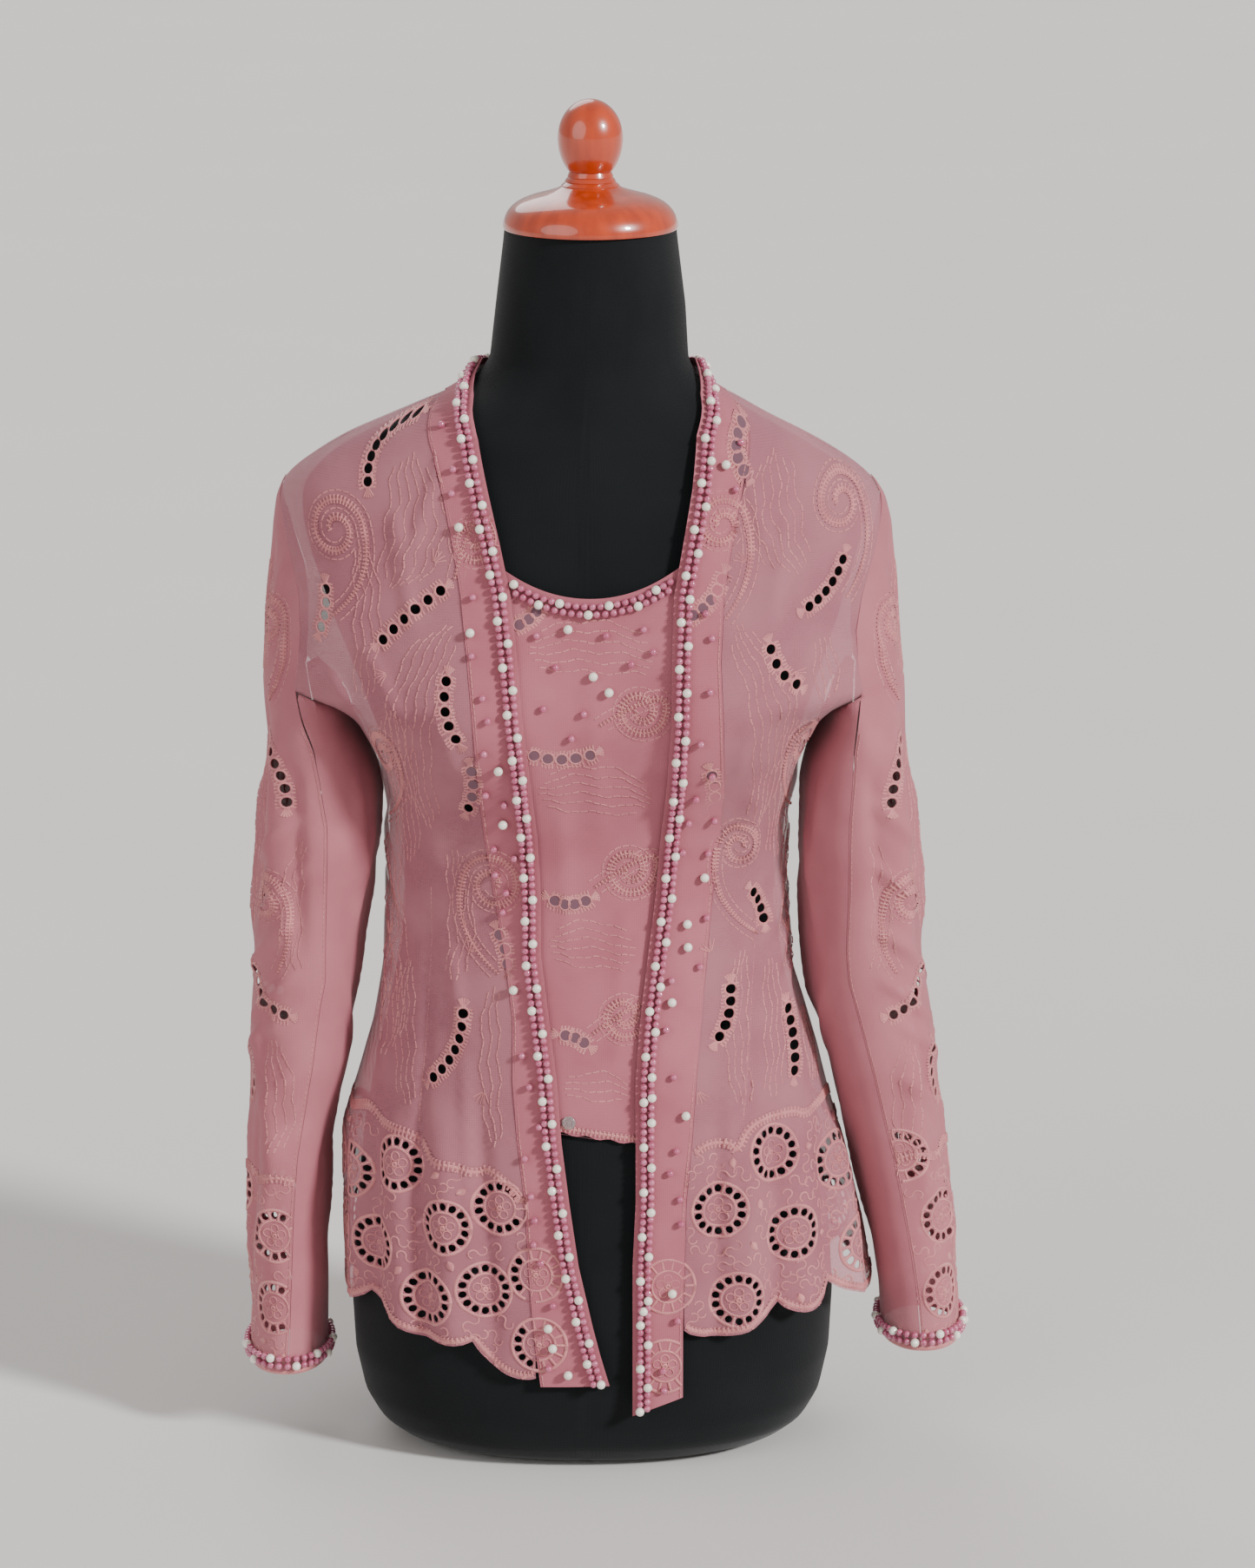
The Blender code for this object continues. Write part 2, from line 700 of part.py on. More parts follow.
def hem_line(cusps):
    """Scallops hanging between the hem's points."""
    points = []
    for start, end in zip(cusps[:-1], cusps[1:]):
        width = end[0] - start[0]
        lobes = max(1, round(abs(width) / 58.0))
        for k in range(lobes * 4):
            share = k / (lobes * 4)
            drop = SCALLOP_DEPTH * math.sin(math.pi * (share * lobes % 1.0)) ** 0.7
            points.append((start[0] + share * width, start[1] + share * (end[1] - start[1]) - drop))
    return points + [cusps[-1]]


def behind_girth(which, share, z):
    """Girth at a share of the way from the side line to the centre back, half a seam gap short."""
    side = GIRTH.side(which, z)
    back = GIRTH.centre_back(which, z) - (1.0 if which == "left" else -1.0) * SEAM_GAP / 2
    return side + share * (back - side)


def band_rows(which):
    """Cross rows of a band from its tip over the shoulder to the centre back.

    Gives the free edge, the seam, and each row's share of the way behind, which is below 0 in front.
    """
    rows = [(a, b, c, d, -1.0) for a, b, c, d in (LEFT_BAND if which == "left" else RIGHT_BAND)]
    for share, edge_z, seam_z in BAND_BACK:
        edge_g, seam_g = (float(behind_girth(which, share, z)) for z in (edge_z, seam_z))
        rows.append((edge_g, edge_z, seam_g, seam_z, share))
    rows = refined(rows)
    return rows[:, 0:2], rows[:, 2:4], rows[:, 4]


def refined(rows):
    """Rows of numbers with one more row in the middle of each step."""
    rows = np.array(rows, float)
    out = np.empty((2 * len(rows) - 1, rows.shape[1]))
    out[::2] = rows
    out[1::2] = (rows[:-1] + rows[1:]) / 2
    return out


def armhole_line(which, face):
    """Armhole from the underarm to the shoulder tip, as girth from the side line and height."""
    column = 1 if face == "front" else 2
    rows = np.array(ARMHOLES[which], float)
    low = rows[0][column]
    rise = UNDERARM_HIGH - UNDERARM_LOW
    under = [(low * k / 6, UNDERARM_LOW + rise * (k / 6) ** 2) for k in range(6)]
    heights = np.append(np.arange(UNDERARM_HIGH, SHOULDER_TIP - 8, 16.0), [643.0, SHOULDER_TIP])
    return under + [(float(np.interp(z, rows[:, 0], rows[:, column])), float(z)) for z in heights]


def cleaned(outline):
    """An outline without points that nearly repeat."""
    keep = np.linalg.norm(outline - np.roll(outline, 1, axis=0), axis=1) > 1.0
    return outline[keep]


def ridge_heights():
    """Heights of the shoulder seam's points, from the tip to just short of the band."""
    return np.append(np.arange(SHOULDER_TIP + 9.0, NECK_SEAM - 4.0, 9.0), NECK_SEAM - SEAM_GAP)


def side_line(which, heights, sign):
    """The side seam or shoulder ridge at these heights, half a seam gap short."""
    return [(float(GIRTH.side(which, z)) - sign * SEAM_GAP / 2, float(z)) for z in heights]


def front_panel(which, material):
    sign = 1.0 if which == "left" else -1.0
    seam = moved(band_seam(which)[: 2 * len(LEFT_BAND)], -sign * SEAM_GAP)
    hem = hem_line(HEMS[which])
    seam = seam[seam[:, 1] > hem[0][1] + 4.0]
    foot = (float(np.interp(hem[0][1], seam[:, 1], seam[:, 0])), hem[0][1])
    heights = np.append(np.arange(hem[-1][1] + 22.0, UNDERARM_LOW - 8.0, 22.0), UNDERARM_LOW)
    sides = side_line(which, [hem[-1][1], *heights], sign)
    arm = armhole_line(which, "front")[1:]
    arm = [(float(GIRTH.side(which, z)) - sign * (a + SEAM_GAP / 2), z) for a, z in arm]
    ridge = side_line(which, ridge_heights(), sign)
    outline = cleaned(np.array([foot] + hem[1:-1] + sides + arm + ridge + seam[::-1].tolist()))
    holes = chain_eyelets(LEFT_CHAINS if which == "left" else RIGHT_CHAINS)
    holes += ring_eyelets(LEFT_RINGS if which == "left" else RIGHT_RINGS)
    folds = LEFT_FOLDS if which == "left" else RIGHT_FOLDS
    chart, faces = triangulate(outline, holes, fold_guides(folds, outline, holes), MESH_SPACING)
    wall("front_" + which, material, folded(GIRTH.section_point, folds, 1.0), chart, faces, 1.0)


def back_panel(material):
    """The back, on its own chart from the centre back."""
    sides = {}
    for which in ("right", "left"):
        sign = 1.0 if which == "left" else -1.0
        hem_end = HEMS["back"][-1 if which == "left" else 0][1]
        line = [(0.0, z) for z in np.append(np.arange(hem_end, UNDERARM_LOW - 8.0, 22.0), UNDERARM_LOW)]
        line += armhole_line(which, "back")[1:]
        line += [(0.0, z) for z in ridge_heights()]
        reach = [abs(float(GIRTH.centre_back(which, z)) - float(GIRTH.side(which, z))) for _, z in line]
        sides[which] = [(sign * (r - a - SEAM_GAP / 2), float(z)) for r, (a, z) in zip(reach, line)]
        seam = band_seam(which)[2 * len(LEFT_BAND) + 1 : -1]
        seam = [(float(GIRTH.centre_back(which, z)) - g, z) for g, z in seam]
        sides[which] += moved(seam, sign * SEAM_GAP).tolist()
    centre = (0.0, BAND_BACK[-1][2] - SEAM_GAP)
    hem = hem_line(HEMS["back"])[1:-1]
    outline = cleaned(np.array(hem + sides["left"] + [centre] + sides["right"][::-1]))
    holes = []
    for sign in (-1, 1):
        rows = [(sign * a, b, sign * c, d, sign * bend, count) for a, b, c, d, bend, count in BACK_CHAINS]
        holes += chain_eyelets(rows)
    folds = [(s * a, b, s * c, d, w, out) for a, b, c, d, w, out in BACK_FOLDS for s in (-1, 1)]
    chart, faces = triangulate(outline, holes, fold_guides(folds, outline, holes), MESH_SPACING)
    wall("back", material, folded(back_point, folds, -1.0), chart, faces, -1.0)


def band_chart(which, distances):
    """Chart points of a band at distances in from its free edge; None is the seam itself."""
    edge, seam, shares = band_rows(which)
    width = np.linalg.norm(seam - edge, axis=1)[:, None]
    shares_in = [1.0 if d is None else d / width for d in distances]
    columns = np.stack([edge + (seam - edge) * share for share in shares_in], axis=1)
    behind = shares >= 0
    columns[behind, :, 0] = behind_girth(which, shares[behind, None], columns[behind, :, 1])
    return columns.reshape(-1, 2), len(edge)


def band_seam(which):
    return band_chart(which, (None,))[0]


def trim_columns(start):
    return (start, start + TRIM_WIDTH / 2, start + TRIM_WIDTH)


def trim_heights(rows, base):
    """Outer face of a beaded trim: low at its edges and full in its middle."""
    return np.tile(base + np.array([TRIM_HEIGHT * 0.65, TRIM_HEIGHT, TRIM_HEIGHT * 0.65]), rows)


def band(which, cloth, pearl):
    chart, rows = band_chart(which, (0.0, TRIM_INSET, TRIM_INSET + TRIM_WIDTH, None))
    faces = strip_faces(4, rows)
    wall("band_" + which, cloth, GIRTH.section_point, chart, faces, 1.0, BAND_PROUD, BAND_PROUD - BAND_CLOTH)
    chart, rows = band_chart(which, trim_columns(TRIM_INSET))
    base = BAND_PROUD + TRIM_GAP
    outer = trim_heights(rows, base)
    faces = strip_faces(3, rows)
    wall("pearl_trim_band_" + which, pearl, GIRTH.section_point, chart, faces, 1.0, outer, base)


def insert_top(girth):
    """The insert's scooped neckline."""
    return 589.0 + 15.0 * (girth / 50.0) ** 2


def insert_bottom(girth):
    return 234.0 - 0.15 * girth


def insert_edges(z, tuck):
    """Where the insert ends under each band at this height."""
    ends = []
    for which, sign in (("right", -1.0), ("left", 1.0)):
        edge = band_rows(which)[0]
        ends.append(float(np.interp(z, edge[:40, 1], edge[:40, 0])) + sign * tuck)
    return ends


def insert_panel(cloth, pearl):
    columns = 9
    chart = []
    steps = 15
    drops = [0.0, TRIM_INSET, TRIM_INSET + TRIM_WIDTH / 2, TRIM_INSET + TRIM_WIDTH]
    for row in range(steps + 4):
        for k in range(columns):
            z = 400.0
            for _ in range(4):
                right, left = insert_edges(z, INSERT_TUCK)
                girth = right + (left - right) * k / (columns - 1)
                top = insert_top(girth)
                low = top - drops[-1]
                if row < steps:
                    z = insert_bottom(girth) + (low - insert_bottom(girth)) * row / steps
                else:
                    z = top - drops[steps + 3 - row]
            chart.append((girth, z))
    outer = -INSERT_SINK
    faces = strip_faces(columns, steps + 4)
    wall("insert_panel", cloth, GIRTH.section_point, np.array(chart), faces, 1.0, outer, outer - CLOTH)
    chart = []
    count = 9
    for k in range(count):
        for drop in trim_columns(TRIM_INSET):
            right, left = insert_edges(600.0 - drop, -0.8)
            girth = right + (left - right) * k / (count - 1)
            chart.append((girth, insert_top(girth) - drop))
    base = outer + TRIM_GAP
    outer = trim_heights(count, base)
    faces = strip_faces(3, count)
    wall("pearl_trim_insert", pearl, GIRTH.section_point, np.array(chart), faces, 1.0, outer, base)


def sleeve(which, rows, voile, pearl):
    """An outer piece that carries the cap, an under piece, and the cuff's trim."""
    tube = Sleeve(which, rows)
    outward = -tube.sign
    half = SEAM_GAP / 2
    seams = np.array(SLEEVE_SEAMS[which], float)
    cuff = CUFF[which]
    bands = [cuff + drop for drop in trim_columns(TRIM_INSET)]
    heights = [*bands, *np.arange(bands[-1] + 14.0, 470.0, 22.0), 482.0, 492.0, 500.0, 507.0, 514.0]

    def front(z):
        return float(np.interp(z, seams[:, 0], seams[:, 1]))

    def rear(z):
        return -float(np.interp(z, seams[:, 0], seams[:, 2]))

    outer_cuff = np.linspace(rear(cuff), front(cuff), CUFF_STEPS)
    under_cuff = np.linspace(front(cuff), tube.whole(cuff) + rear(cuff), CUFF_STEPS)

    ends = [[(rear(cuff) + half, cuff)], [(front(cuff) - half, cuff)]]
    bottom = ends[0] + [(g, cuff) for g in outer_cuff[1:-1]] + ends[1]
    cap = [(a - half, z) for a, z in armhole_line(which, "front")[6:-1]]
    cap += [(-a + half, z) for a, z in armhole_line(which, "back")[6:-1][::-1]]
    rise = [(front(z) - half, z) for z in heights]
    fall = [(rear(z) + half, z) for z in heights[::-1]]
    guide = np.array([(g, z) for z in bands for g in outer_cuff[1:-1]])
    outline = cleaned(np.array(bottom + rise + cap + fall))
    holes = chain_eyelets(SLEEVE_CHAINS)
    folds = LEFT_SLEEVE_FOLDS if which == "left" else RIGHT_SLEEVE_FOLDS
    guide = np.concatenate([guide, fold_guides(folds, outline, holes)])
    chart, faces = triangulate(outline, holes, guide, MESH_SPACING)
    wall("sleeve_" + which + "_outer", voile, folded(tube.point, folds, outward), chart, faces, outward)

    def ease(z):
        return half + ARMPIT_EASE * float(np.clip((z - 470.0) / 20.0, 0.0, 1.0))

    bottom = [(front(cuff) + half, cuff)] + [(g, cuff) for g in under_cuff[1:-1]]
    bottom += [(tube.whole(cuff) + rear(cuff) - half, cuff)]
    rise = [(tube.whole(z) + rear(z) - ease(z), z) for z in heights]
    fall = [(front(z) + ease(z), z) for z in heights[::-1]]
    guide = np.array([(g, z) for z in bands for g in under_cuff[1:-1]])
    outline = cleaned(np.array(bottom + rise + tube.underarm()[::-1] + fall))
    chart, faces = triangulate(outline, [], guide, MESH_SPACING)
    wall("sleeve_" + which + "_under", voile, tube.point, chart, faces, outward)

    around = [*outer_cuff, *under_cuff[1:-1]]
    chart = np.array([(g, z) for g in around for z in bands])
    outer = trim_heights(len(around), TRIM_GAP)
    faces = strip_faces(3, len(around), True)
    wall("pearl_trim_cuff_" + which, pearl, tube.point, chart, faces, outward, outer, TRIM_GAP)


def torso(material):
    """The form's body, lofted through its sections."""
    low, high = FORM_SECTIONS[0][0], FORM_SECTIONS[-1][0]
    heights = np.arange(low, high + Z_STEP / 2, Z_STEP)
    columns = [smooth_column(FORM_SECTIONS, i, low, high, 4) for i in range(1, 6)]
    angle = 2 * math.pi * np.arange(FORM_SIDES) / FORM_SIDES
    vertices = []
    for z in FORM_RINGS:
        x, y = ring_points(angle, *(float(np.interp(z, heights, column)) for column in columns))
        y = with_bust(x, y, np.full(FORM_SIDES, float(z)))
        vertices += np.stack([x, y, np.full(FORM_SIDES, float(z))], axis=1).tolist()
    faces = []
    for ring in range(len(FORM_RINGS) - 1):
        for k in range(FORM_SIDES):
            here = ring * FORM_SIDES
            after = (k + 1) % FORM_SIDES
            faces.append((here + k, here + after, here + FORM_SIDES + after, here + FORM_SIDES + k))
    top = (len(FORM_RINGS) - 1) * FORM_SIDES
    faces += [tuple(range(FORM_SIDES))[::-1], tuple(top + k for k in range(FORM_SIDES))]
    mesh = bpy.data.meshes.new("form_torso")
    mesh.from_pydata((np.array(vertices) * MM).tolist(), [], faces)
    return link("form_torso", mesh, material)


def turned(name, profile, material, steps=22):
    """A turned piece: its outer side from top to bottom, swept round the form's axis."""
    mesh = bpy.data.meshes.new(name)
    points = [(0.0, profile[0][1])] + list(profile) + [(0.0, profile[-1][1])]
    edges = [(k, k + 1) for k in range(len(points) - 1)]
    mesh.from_pydata([(r * MM, 0.0, z * MM) for r, z in points], edges, [])
    obj = link(name, mesh, material)
    screw = obj.modifiers.new("Screw", "SCREW")
    screw.steps = steps
    screw.render_steps = steps
    screw.use_merge_vertices = True
    screw.merge_threshold = 0.00001
    screw.use_smooth_shade = True
    return obj


def knob_profile():
    """An egg, widest a little below its middle, cut flat where it stands on the cap."""
    height = KNOB_HIGH - KNOB_LOW
    middle = KNOB_LOW + 0.46 * height
    under = height * 0.62
    lowest = math.asin((middle - KNOB_LOW) / under)
    profile = []
    for turn in np.linspace(math.radians(78.0), -lowest, 12):
        reach = (KNOB_HIGH - middle) if turn > 0 else under
        profile.append((KNOB_RADIUS * math.cos(turn), middle + reach * math.sin(turn)))
    return [(KNOB_RADIUS * math.cos(math.radians(86.0)), KNOB_HIGH - 0.1)] + profile


def snap_button(material):
    """A clear press stud on the insert's lower corner."""
    place = np.array([[SNAP["girth"], SNAP["height"]]])
    normal = normals(GIRTH.section_point, place, 1.0)[0]
    centre = GIRTH.section_point(place[:, 0], place[:, 1])[0]
    centre = centre + normal * (SEAM_GAP + 0.1 - INSERT_SINK + SNAP["thick"] / 2)
    bpy.ops.mesh.primitive_cylinder_add(
        vertices=20, radius=SNAP["radius"] * MM, depth=SNAP["thick"] * MM, location=Vector(centre * MM)
    )
    obj = bpy.context.active_object
    obj.name = "snap_button"
    obj.rotation_euler = Vector(normal).to_track_quat("Z", "Y").to_euler()
    obj.data.materials.append(material)
    for collection in list(obj.users_collection):
        collection.objects.unlink(obj)
    bpy.data.collections[COLLECTION].objects.link(obj)


def plain_material(name):
    colour, roughness = MATERIALS[name]
    material = bpy.data.materials.new(name)
    material.use_nodes = True
    shader = material.node_tree.nodes["Principled BSDF"]
    shader.inputs["Base Color"].default_value = (*colour, 1.0)
    shader.inputs["Roughness"].default_value = roughness
    shader.inputs["Metallic"].default_value = 0.0
    return material


def main():
    for obj in list(bpy.data.objects):
        bpy.data.objects.remove(obj)
    collection = bpy.data.collections.new(COLLECTION)
    bpy.context.scene.collection.children.link(collection)
    look = {name: plain_material(name) for name in MATERIALS}
    torso(look["black_jersey"])
    turned("form_cap", CAP_PROFILE, look["orange_lacquer"])
    turned("form_knob", knob_profile(), look["orange_lacquer"])
    for which in ("right", "left"):
        front_panel(which, look["single_voile"])
        band(which, look["doubled_voile"], look["pearl"])
    back_panel(look["single_voile"])
    insert_panel(look["doubled_voile"], look["pearl"])
    sleeve("right", RIGHT_SLEEVE, look["single_voile"], look["pearl"])
    sleeve("left", LEFT_SLEEVE, look["single_voile"], look["pearl"])
    snap_button(look["clear_plastic"])


main()
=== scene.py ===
import math

import bmesh
import bpy
import numpy as np
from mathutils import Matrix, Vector
from mathutils.geometry import delaunay_2d_cdt


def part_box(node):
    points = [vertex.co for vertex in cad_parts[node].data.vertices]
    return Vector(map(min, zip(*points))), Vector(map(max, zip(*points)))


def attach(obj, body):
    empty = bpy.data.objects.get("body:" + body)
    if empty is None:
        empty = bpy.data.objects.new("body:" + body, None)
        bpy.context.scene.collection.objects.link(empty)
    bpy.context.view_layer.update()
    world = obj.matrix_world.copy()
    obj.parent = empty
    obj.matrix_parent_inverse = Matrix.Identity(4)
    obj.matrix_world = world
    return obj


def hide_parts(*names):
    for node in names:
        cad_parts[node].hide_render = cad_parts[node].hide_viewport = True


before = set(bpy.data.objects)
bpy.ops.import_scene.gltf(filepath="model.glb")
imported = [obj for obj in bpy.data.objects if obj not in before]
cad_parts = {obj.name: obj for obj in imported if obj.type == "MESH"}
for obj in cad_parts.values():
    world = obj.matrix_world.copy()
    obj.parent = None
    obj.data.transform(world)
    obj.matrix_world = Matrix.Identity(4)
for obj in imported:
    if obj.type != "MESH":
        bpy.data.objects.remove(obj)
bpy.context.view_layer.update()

bl_info = {
    "name": "Kebaya blouse on a dress form",
    "version": (1, 0, 0),
    "blender": (4, 5, 0),
    "location": "3D View > Sidebar > Kebaya",
    "description": "Dresses the packed kebaya and its form with fine cloth, thread work, pearls and finishes",
    "category": "Object",
}

# Left and right are the wearer's, and x grows to the wearer's left
SIGN = {"right": -1.0, "left": 1.0}

# Tables are in millimetres, as a tailor writes them, and points become metres when a mesh is made
MM = 0.001
# Spacing of the cloth's mesh, of the charts' rows and columns, and of the form's rings
FINE = 5.0
SLEEVE_FINE = 4.0
Z_STEP = 2.0
EVEN_STEPS = 1441
FORM_SIDES = 132
TURNED_SIDES = 96

# The joint between two cut pieces
SEAM_GAP = 0.3
# How far the bands stand out of the fronts, and how far the insert lies behind them and is tucked under
BAND_PROUD = 0.4
INSERT_SINK = 2.8
INSERT_TUCK = 14.0
# Heights on the worn garment
UNDERARM_LOW = 498.0
UNDERARM_HIGH = 520.0
SHOULDER_START = 625.0
SHOULDER_TIP = 651.0
NECK_SEAM = 707.0
Z_TOP = 736.0
SCALLOP_DEPTH = 11.0
SCALLOP_WIDTH = 58.0
# Eyelets, the border rings' slots across and along the radius, and the cloth left beside a hole
EYELET = 6.4
RING_EYELETS = 14
RING_RADIUS = 14.2
RING_EYELET = (4.3, 4.8)
HOLE_MARGIN = 1.2
# The lining in closed eyelets, darkened with painted shade, lies this far in front of its cloth
LINING_PROUD = 0.15
EDGING_INSET = 3.0
# Real yarns lie about 0.3 mm apart; they are drawn this far apart so that they show
YARN_PITCH = 1.3
# Height of each kind of cloth's faint unevenness
RIPPLE = {"body": 0.7, "sleeve": 1.0, "doubled": 0.12}

PEARL = 4.6
WHITE_PEARL = 6.0
PEARL_PITCH = 4.9
WHITE_EVERY = 6
# The two rows' distances in from the edge, and how far the pearls stand off their cloth
PEARL_ROWS = (4.9, 9.9)
PEARL_LIFT = 0.3
BALL_RINGS = 8
BALL_SIDES = 12
PEARL_SEEDS = {"right": 21, "left": 22}
LOOSE_PEARLS = 34

# Height, half width on the wearer's right and left, depth in front and behind, roundness
GARMENT_SECTIONS = (
    (0, 165, 189, 112, 126, 2.30), (60, 165, 189, 112, 126, 2.30), (105, 165, 188, 112, 125, 2.30),
    (149, 166, 180, 109, 121, 2.30), (184, 166, 172, 107, 118, 2.30), (216, 165, 163, 104, 115, 2.30),
    (235, 160, 158, 102, 111, 2.25), (264, 151, 151, 99, 107, 2.20), (283, 145, 145, 96, 103, 2.20),
    (320, 139, 134, 91, 93, 2.15), (348, 135, 130, 87, 86, 2.15), (380, 133, 126, 85, 81, 2.15),
    (410, 132, 126, 86, 82, 2.15), (434, 132, 128, 89, 85, 2.20), (447, 134, 131, 91, 87, 2.30),
    (461, 137, 134, 94, 90, 2.40), (480, 145, 141, 97, 93, 2.60), (497, 154, 151, 99, 95, 2.70),
    (506, 168, 163, 100, 96, 2.60), (512, 186, 179, 100, 96, 2.45), (518, 214, 204, 100, 96, 2.30),
    (561, 212, 200, 98, 96, 2.20), (589, 209, 198, 96, 95, 2.10), (621, 206, 195, 91, 92, 2.05),
    (638, 203, 190, 88, 88, 2.00), (651, 197, 181, 84, 85, 2.00), (660, 188, 170, 81, 81, 2.00),
    (671, 171, 152, 77, 77, 2.00), (682, 151, 132, 72, 72, 2.00), (692, 124, 112, 67, 67, 2.00),
    (700, 106, 98, 64, 64, 2.00), (707, 91, 84, 62, 61, 2.00), (715, 80, 74, 60, 58, 2.00),
    (727, 69, 67, 58, 55, 2.00), (736, 66, 65, 57, 54, 2.00),
)
# The same columns for the dress form
FORM_SECTIONS = (
    (0, 112, 112, 72, 82, 2.30), (6, 131, 131, 88, 98, 2.30), (16, 144, 144, 97, 108, 2.30),
    (32, 153, 153, 102, 115, 2.30), (60, 159, 159, 106, 120, 2.30), (100, 161, 161, 107, 120, 2.30),
    (150, 158, 158, 104, 116, 2.30), (216, 151, 150, 98, 109, 2.25), (264, 142, 141, 92, 101, 2.20),
    (320, 129, 127, 84, 88, 2.15), (365, 123, 120, 79, 77, 2.15), (410, 123, 120, 79, 76, 2.15),
    (447, 126, 124, 84, 81, 2.20), (480, 137, 134, 90, 87, 2.30), (513, 149, 145, 93, 90, 2.30),
    (561, 168, 161, 91, 90, 2.20), (600, 181, 172, 87, 88, 2.10), (621, 186, 177, 84, 86, 2.05),
    (636, 187, 178, 81, 82, 2.00), (647, 185, 173, 78, 79, 2.00), (656, 178, 164, 75, 76, 2.00),
    (664, 170, 152, 72, 72, 2.00), (671, 160, 141, 70, 70, 2.00), (682, 140, 122, 66, 66, 2.00),
    (692, 115, 104, 61, 61, 2.00), (700, 98, 90, 59, 59, 2.00), (707, 85, 78, 57, 56, 2.00),
    (715, 75, 69, 55, 53, 2.00), (727, 65, 63, 53, 51, 2.00), (762, 61, 61, 53, 52, 2.00),
    (811, 55, 55, 53, 53, 2.00),
)
# The two bust points: how far out, and how far they spread across, above and below
BUST = {"half_spacing": 88.0, "height": 500.0, "out": 19.0, "across": 44.0, "above": 53.0, "below": 41.0}

# Height, outer x, inner x, half depth and how far the middle lies back
SLEEVES = {
    "right": (
        (40, 230, 178, 45, -6), (91, 228, 177, 45, -5), (161, 228, 176, 46, -3), (207, 227, 174, 47, -1),
        (225, 227, 170, 47, 0), (263, 226, 160, 49, 0), (304, 225, 157, 51, 0), (346, 223, 151, 53, 0),
        (387, 220, 143, 55, 0), (415, 217, 138.5, 57, 0), (443, 215, 138, 58, 0), (461, 213, 141.5, 58, 0),
        (480, 212, 149.5, 58, 0), (497, 213, 158.5, 58, 0), (520, 214, 160, 58, 0),
    ),
    "left": (
        (40, 248, 195, 45, -4), (69, 247, 194, 45, -4), (104, 245, 192, 45, -3), (132, 242, 187, 46, -2),
        (167, 238, 180, 46, 0), (197, 234, 172, 47, 0), (225, 231, 165, 48, 0), (263, 228, 156, 49, 0),
        (304, 223, 144, 51, 0), (346, 217, 139, 53, 0), (387, 216, 137, 55, 0), (415, 212, 137, 58, 0),
        (446, 209, 138, 60, 0), (468, 207, 140.5, 61, 0), (480, 206, 145.5, 62, 0), (497, 205, 154, 62, 0),
        (520, 204, 153, 62, 0),
    ),
}
SLEEVE_SEAMS = {
    "right": (
        (40, 58, 56), (100, 60, 58), (200, 66, 60), (252, 74, 64),
        (323, 86, 70), (430, 84, 74), (480, 74, 68), (520, 59, 59),
    ),
    "left": (
        (40, 58, 56), (100, 60, 58), (200, 66, 60), (252, 74, 64),
        (323, 86, 70), (430, 84, 76), (480, 80, 76), (520, 69, 67),
    ),
}
CUFF = {"right": 54.0, "left": 70.0}
# Height, then the girth from the shoulder ridge to the armhole in front and behind
ARMHOLES = {
    "right": (
        (520, 59, 59), (535, 61, 60), (560, 61, 58), (582, 54, 52),
        (603, 41, 40), (623, 27, 27), (643, 8, 8), (651, 0, 0),
    ),
    "left": (
        (520, 69, 67), (535, 71, 68), (560, 68, 64), (582, 58, 54),
        (603, 43, 41), (623, 28, 27), (643, 8, 8), (651, 0, 0),
    ),
}
# Girth and height of each band's free edge, then of its seam
BANDS = {
    "right": (
        (12, 67, -33, 66), (6, 88, -36, 88), (1, 108, -38, 108), (-8, 148, -41, 148), (-14, 190, -43, 190),
        (-19, 230, -48, 230), (-22, 270, -51, 270), (-27, 310, -51, 310), (-32, 350, -56, 350),
        (-32, 390, -63, 390), (-34, 430, -69, 430), (-38, 470, -72, 470), (-43, 510, -75, 510),
        (-46, 550, -78, 550), (-50, 590, -82, 590), (-57, 622, -87, 618), (-65, 655, -93, 647),
        (-72, 685, -101, 674), (-82, 709, -111, 695),
    ),
    "left": (
        (27, 46, 60, 58), (27, 75, 60, 80), (27, 108, 60, 108), (27, 148, 61, 148), (29, 190, 62, 190),
        (29, 230, 66, 230), (29, 270, 69, 270), (32, 310, 73, 310), (37, 350, 77, 350), (42, 390, 81, 390),
        (45, 430, 85, 430), (49, 470, 86, 470), (52, 510, 85, 510), (52, 550, 83, 550), (53, 590, 85, 590),
        (59, 622, 90, 618), (65, 655, 96, 647), (69, 687, 104, 676), (79, 709, 110, 695),
    ),
}
# Share of the way from the shoulder ridge to the centre back, edge height and seam height
BAND_BACK = ((0.0, 727, 707), (0.17, 725, 703), (0.4, 720, 693), (0.7, 714, 683), (1.0, 711, 677))
HEMS = {
    "right": ((-33, 74), (-78, 95), (-158, 116), (-225, 114)),
    "left": ((60, 104), (126, 117), (168, 123), (245, 112)),
    "back": (
        (-234, 114), (-176, 112), (-118, 108), (-60, 104), (0, 102),
        (60, 104), (120, 108), (185, 111), (252, 112),
    ),
}

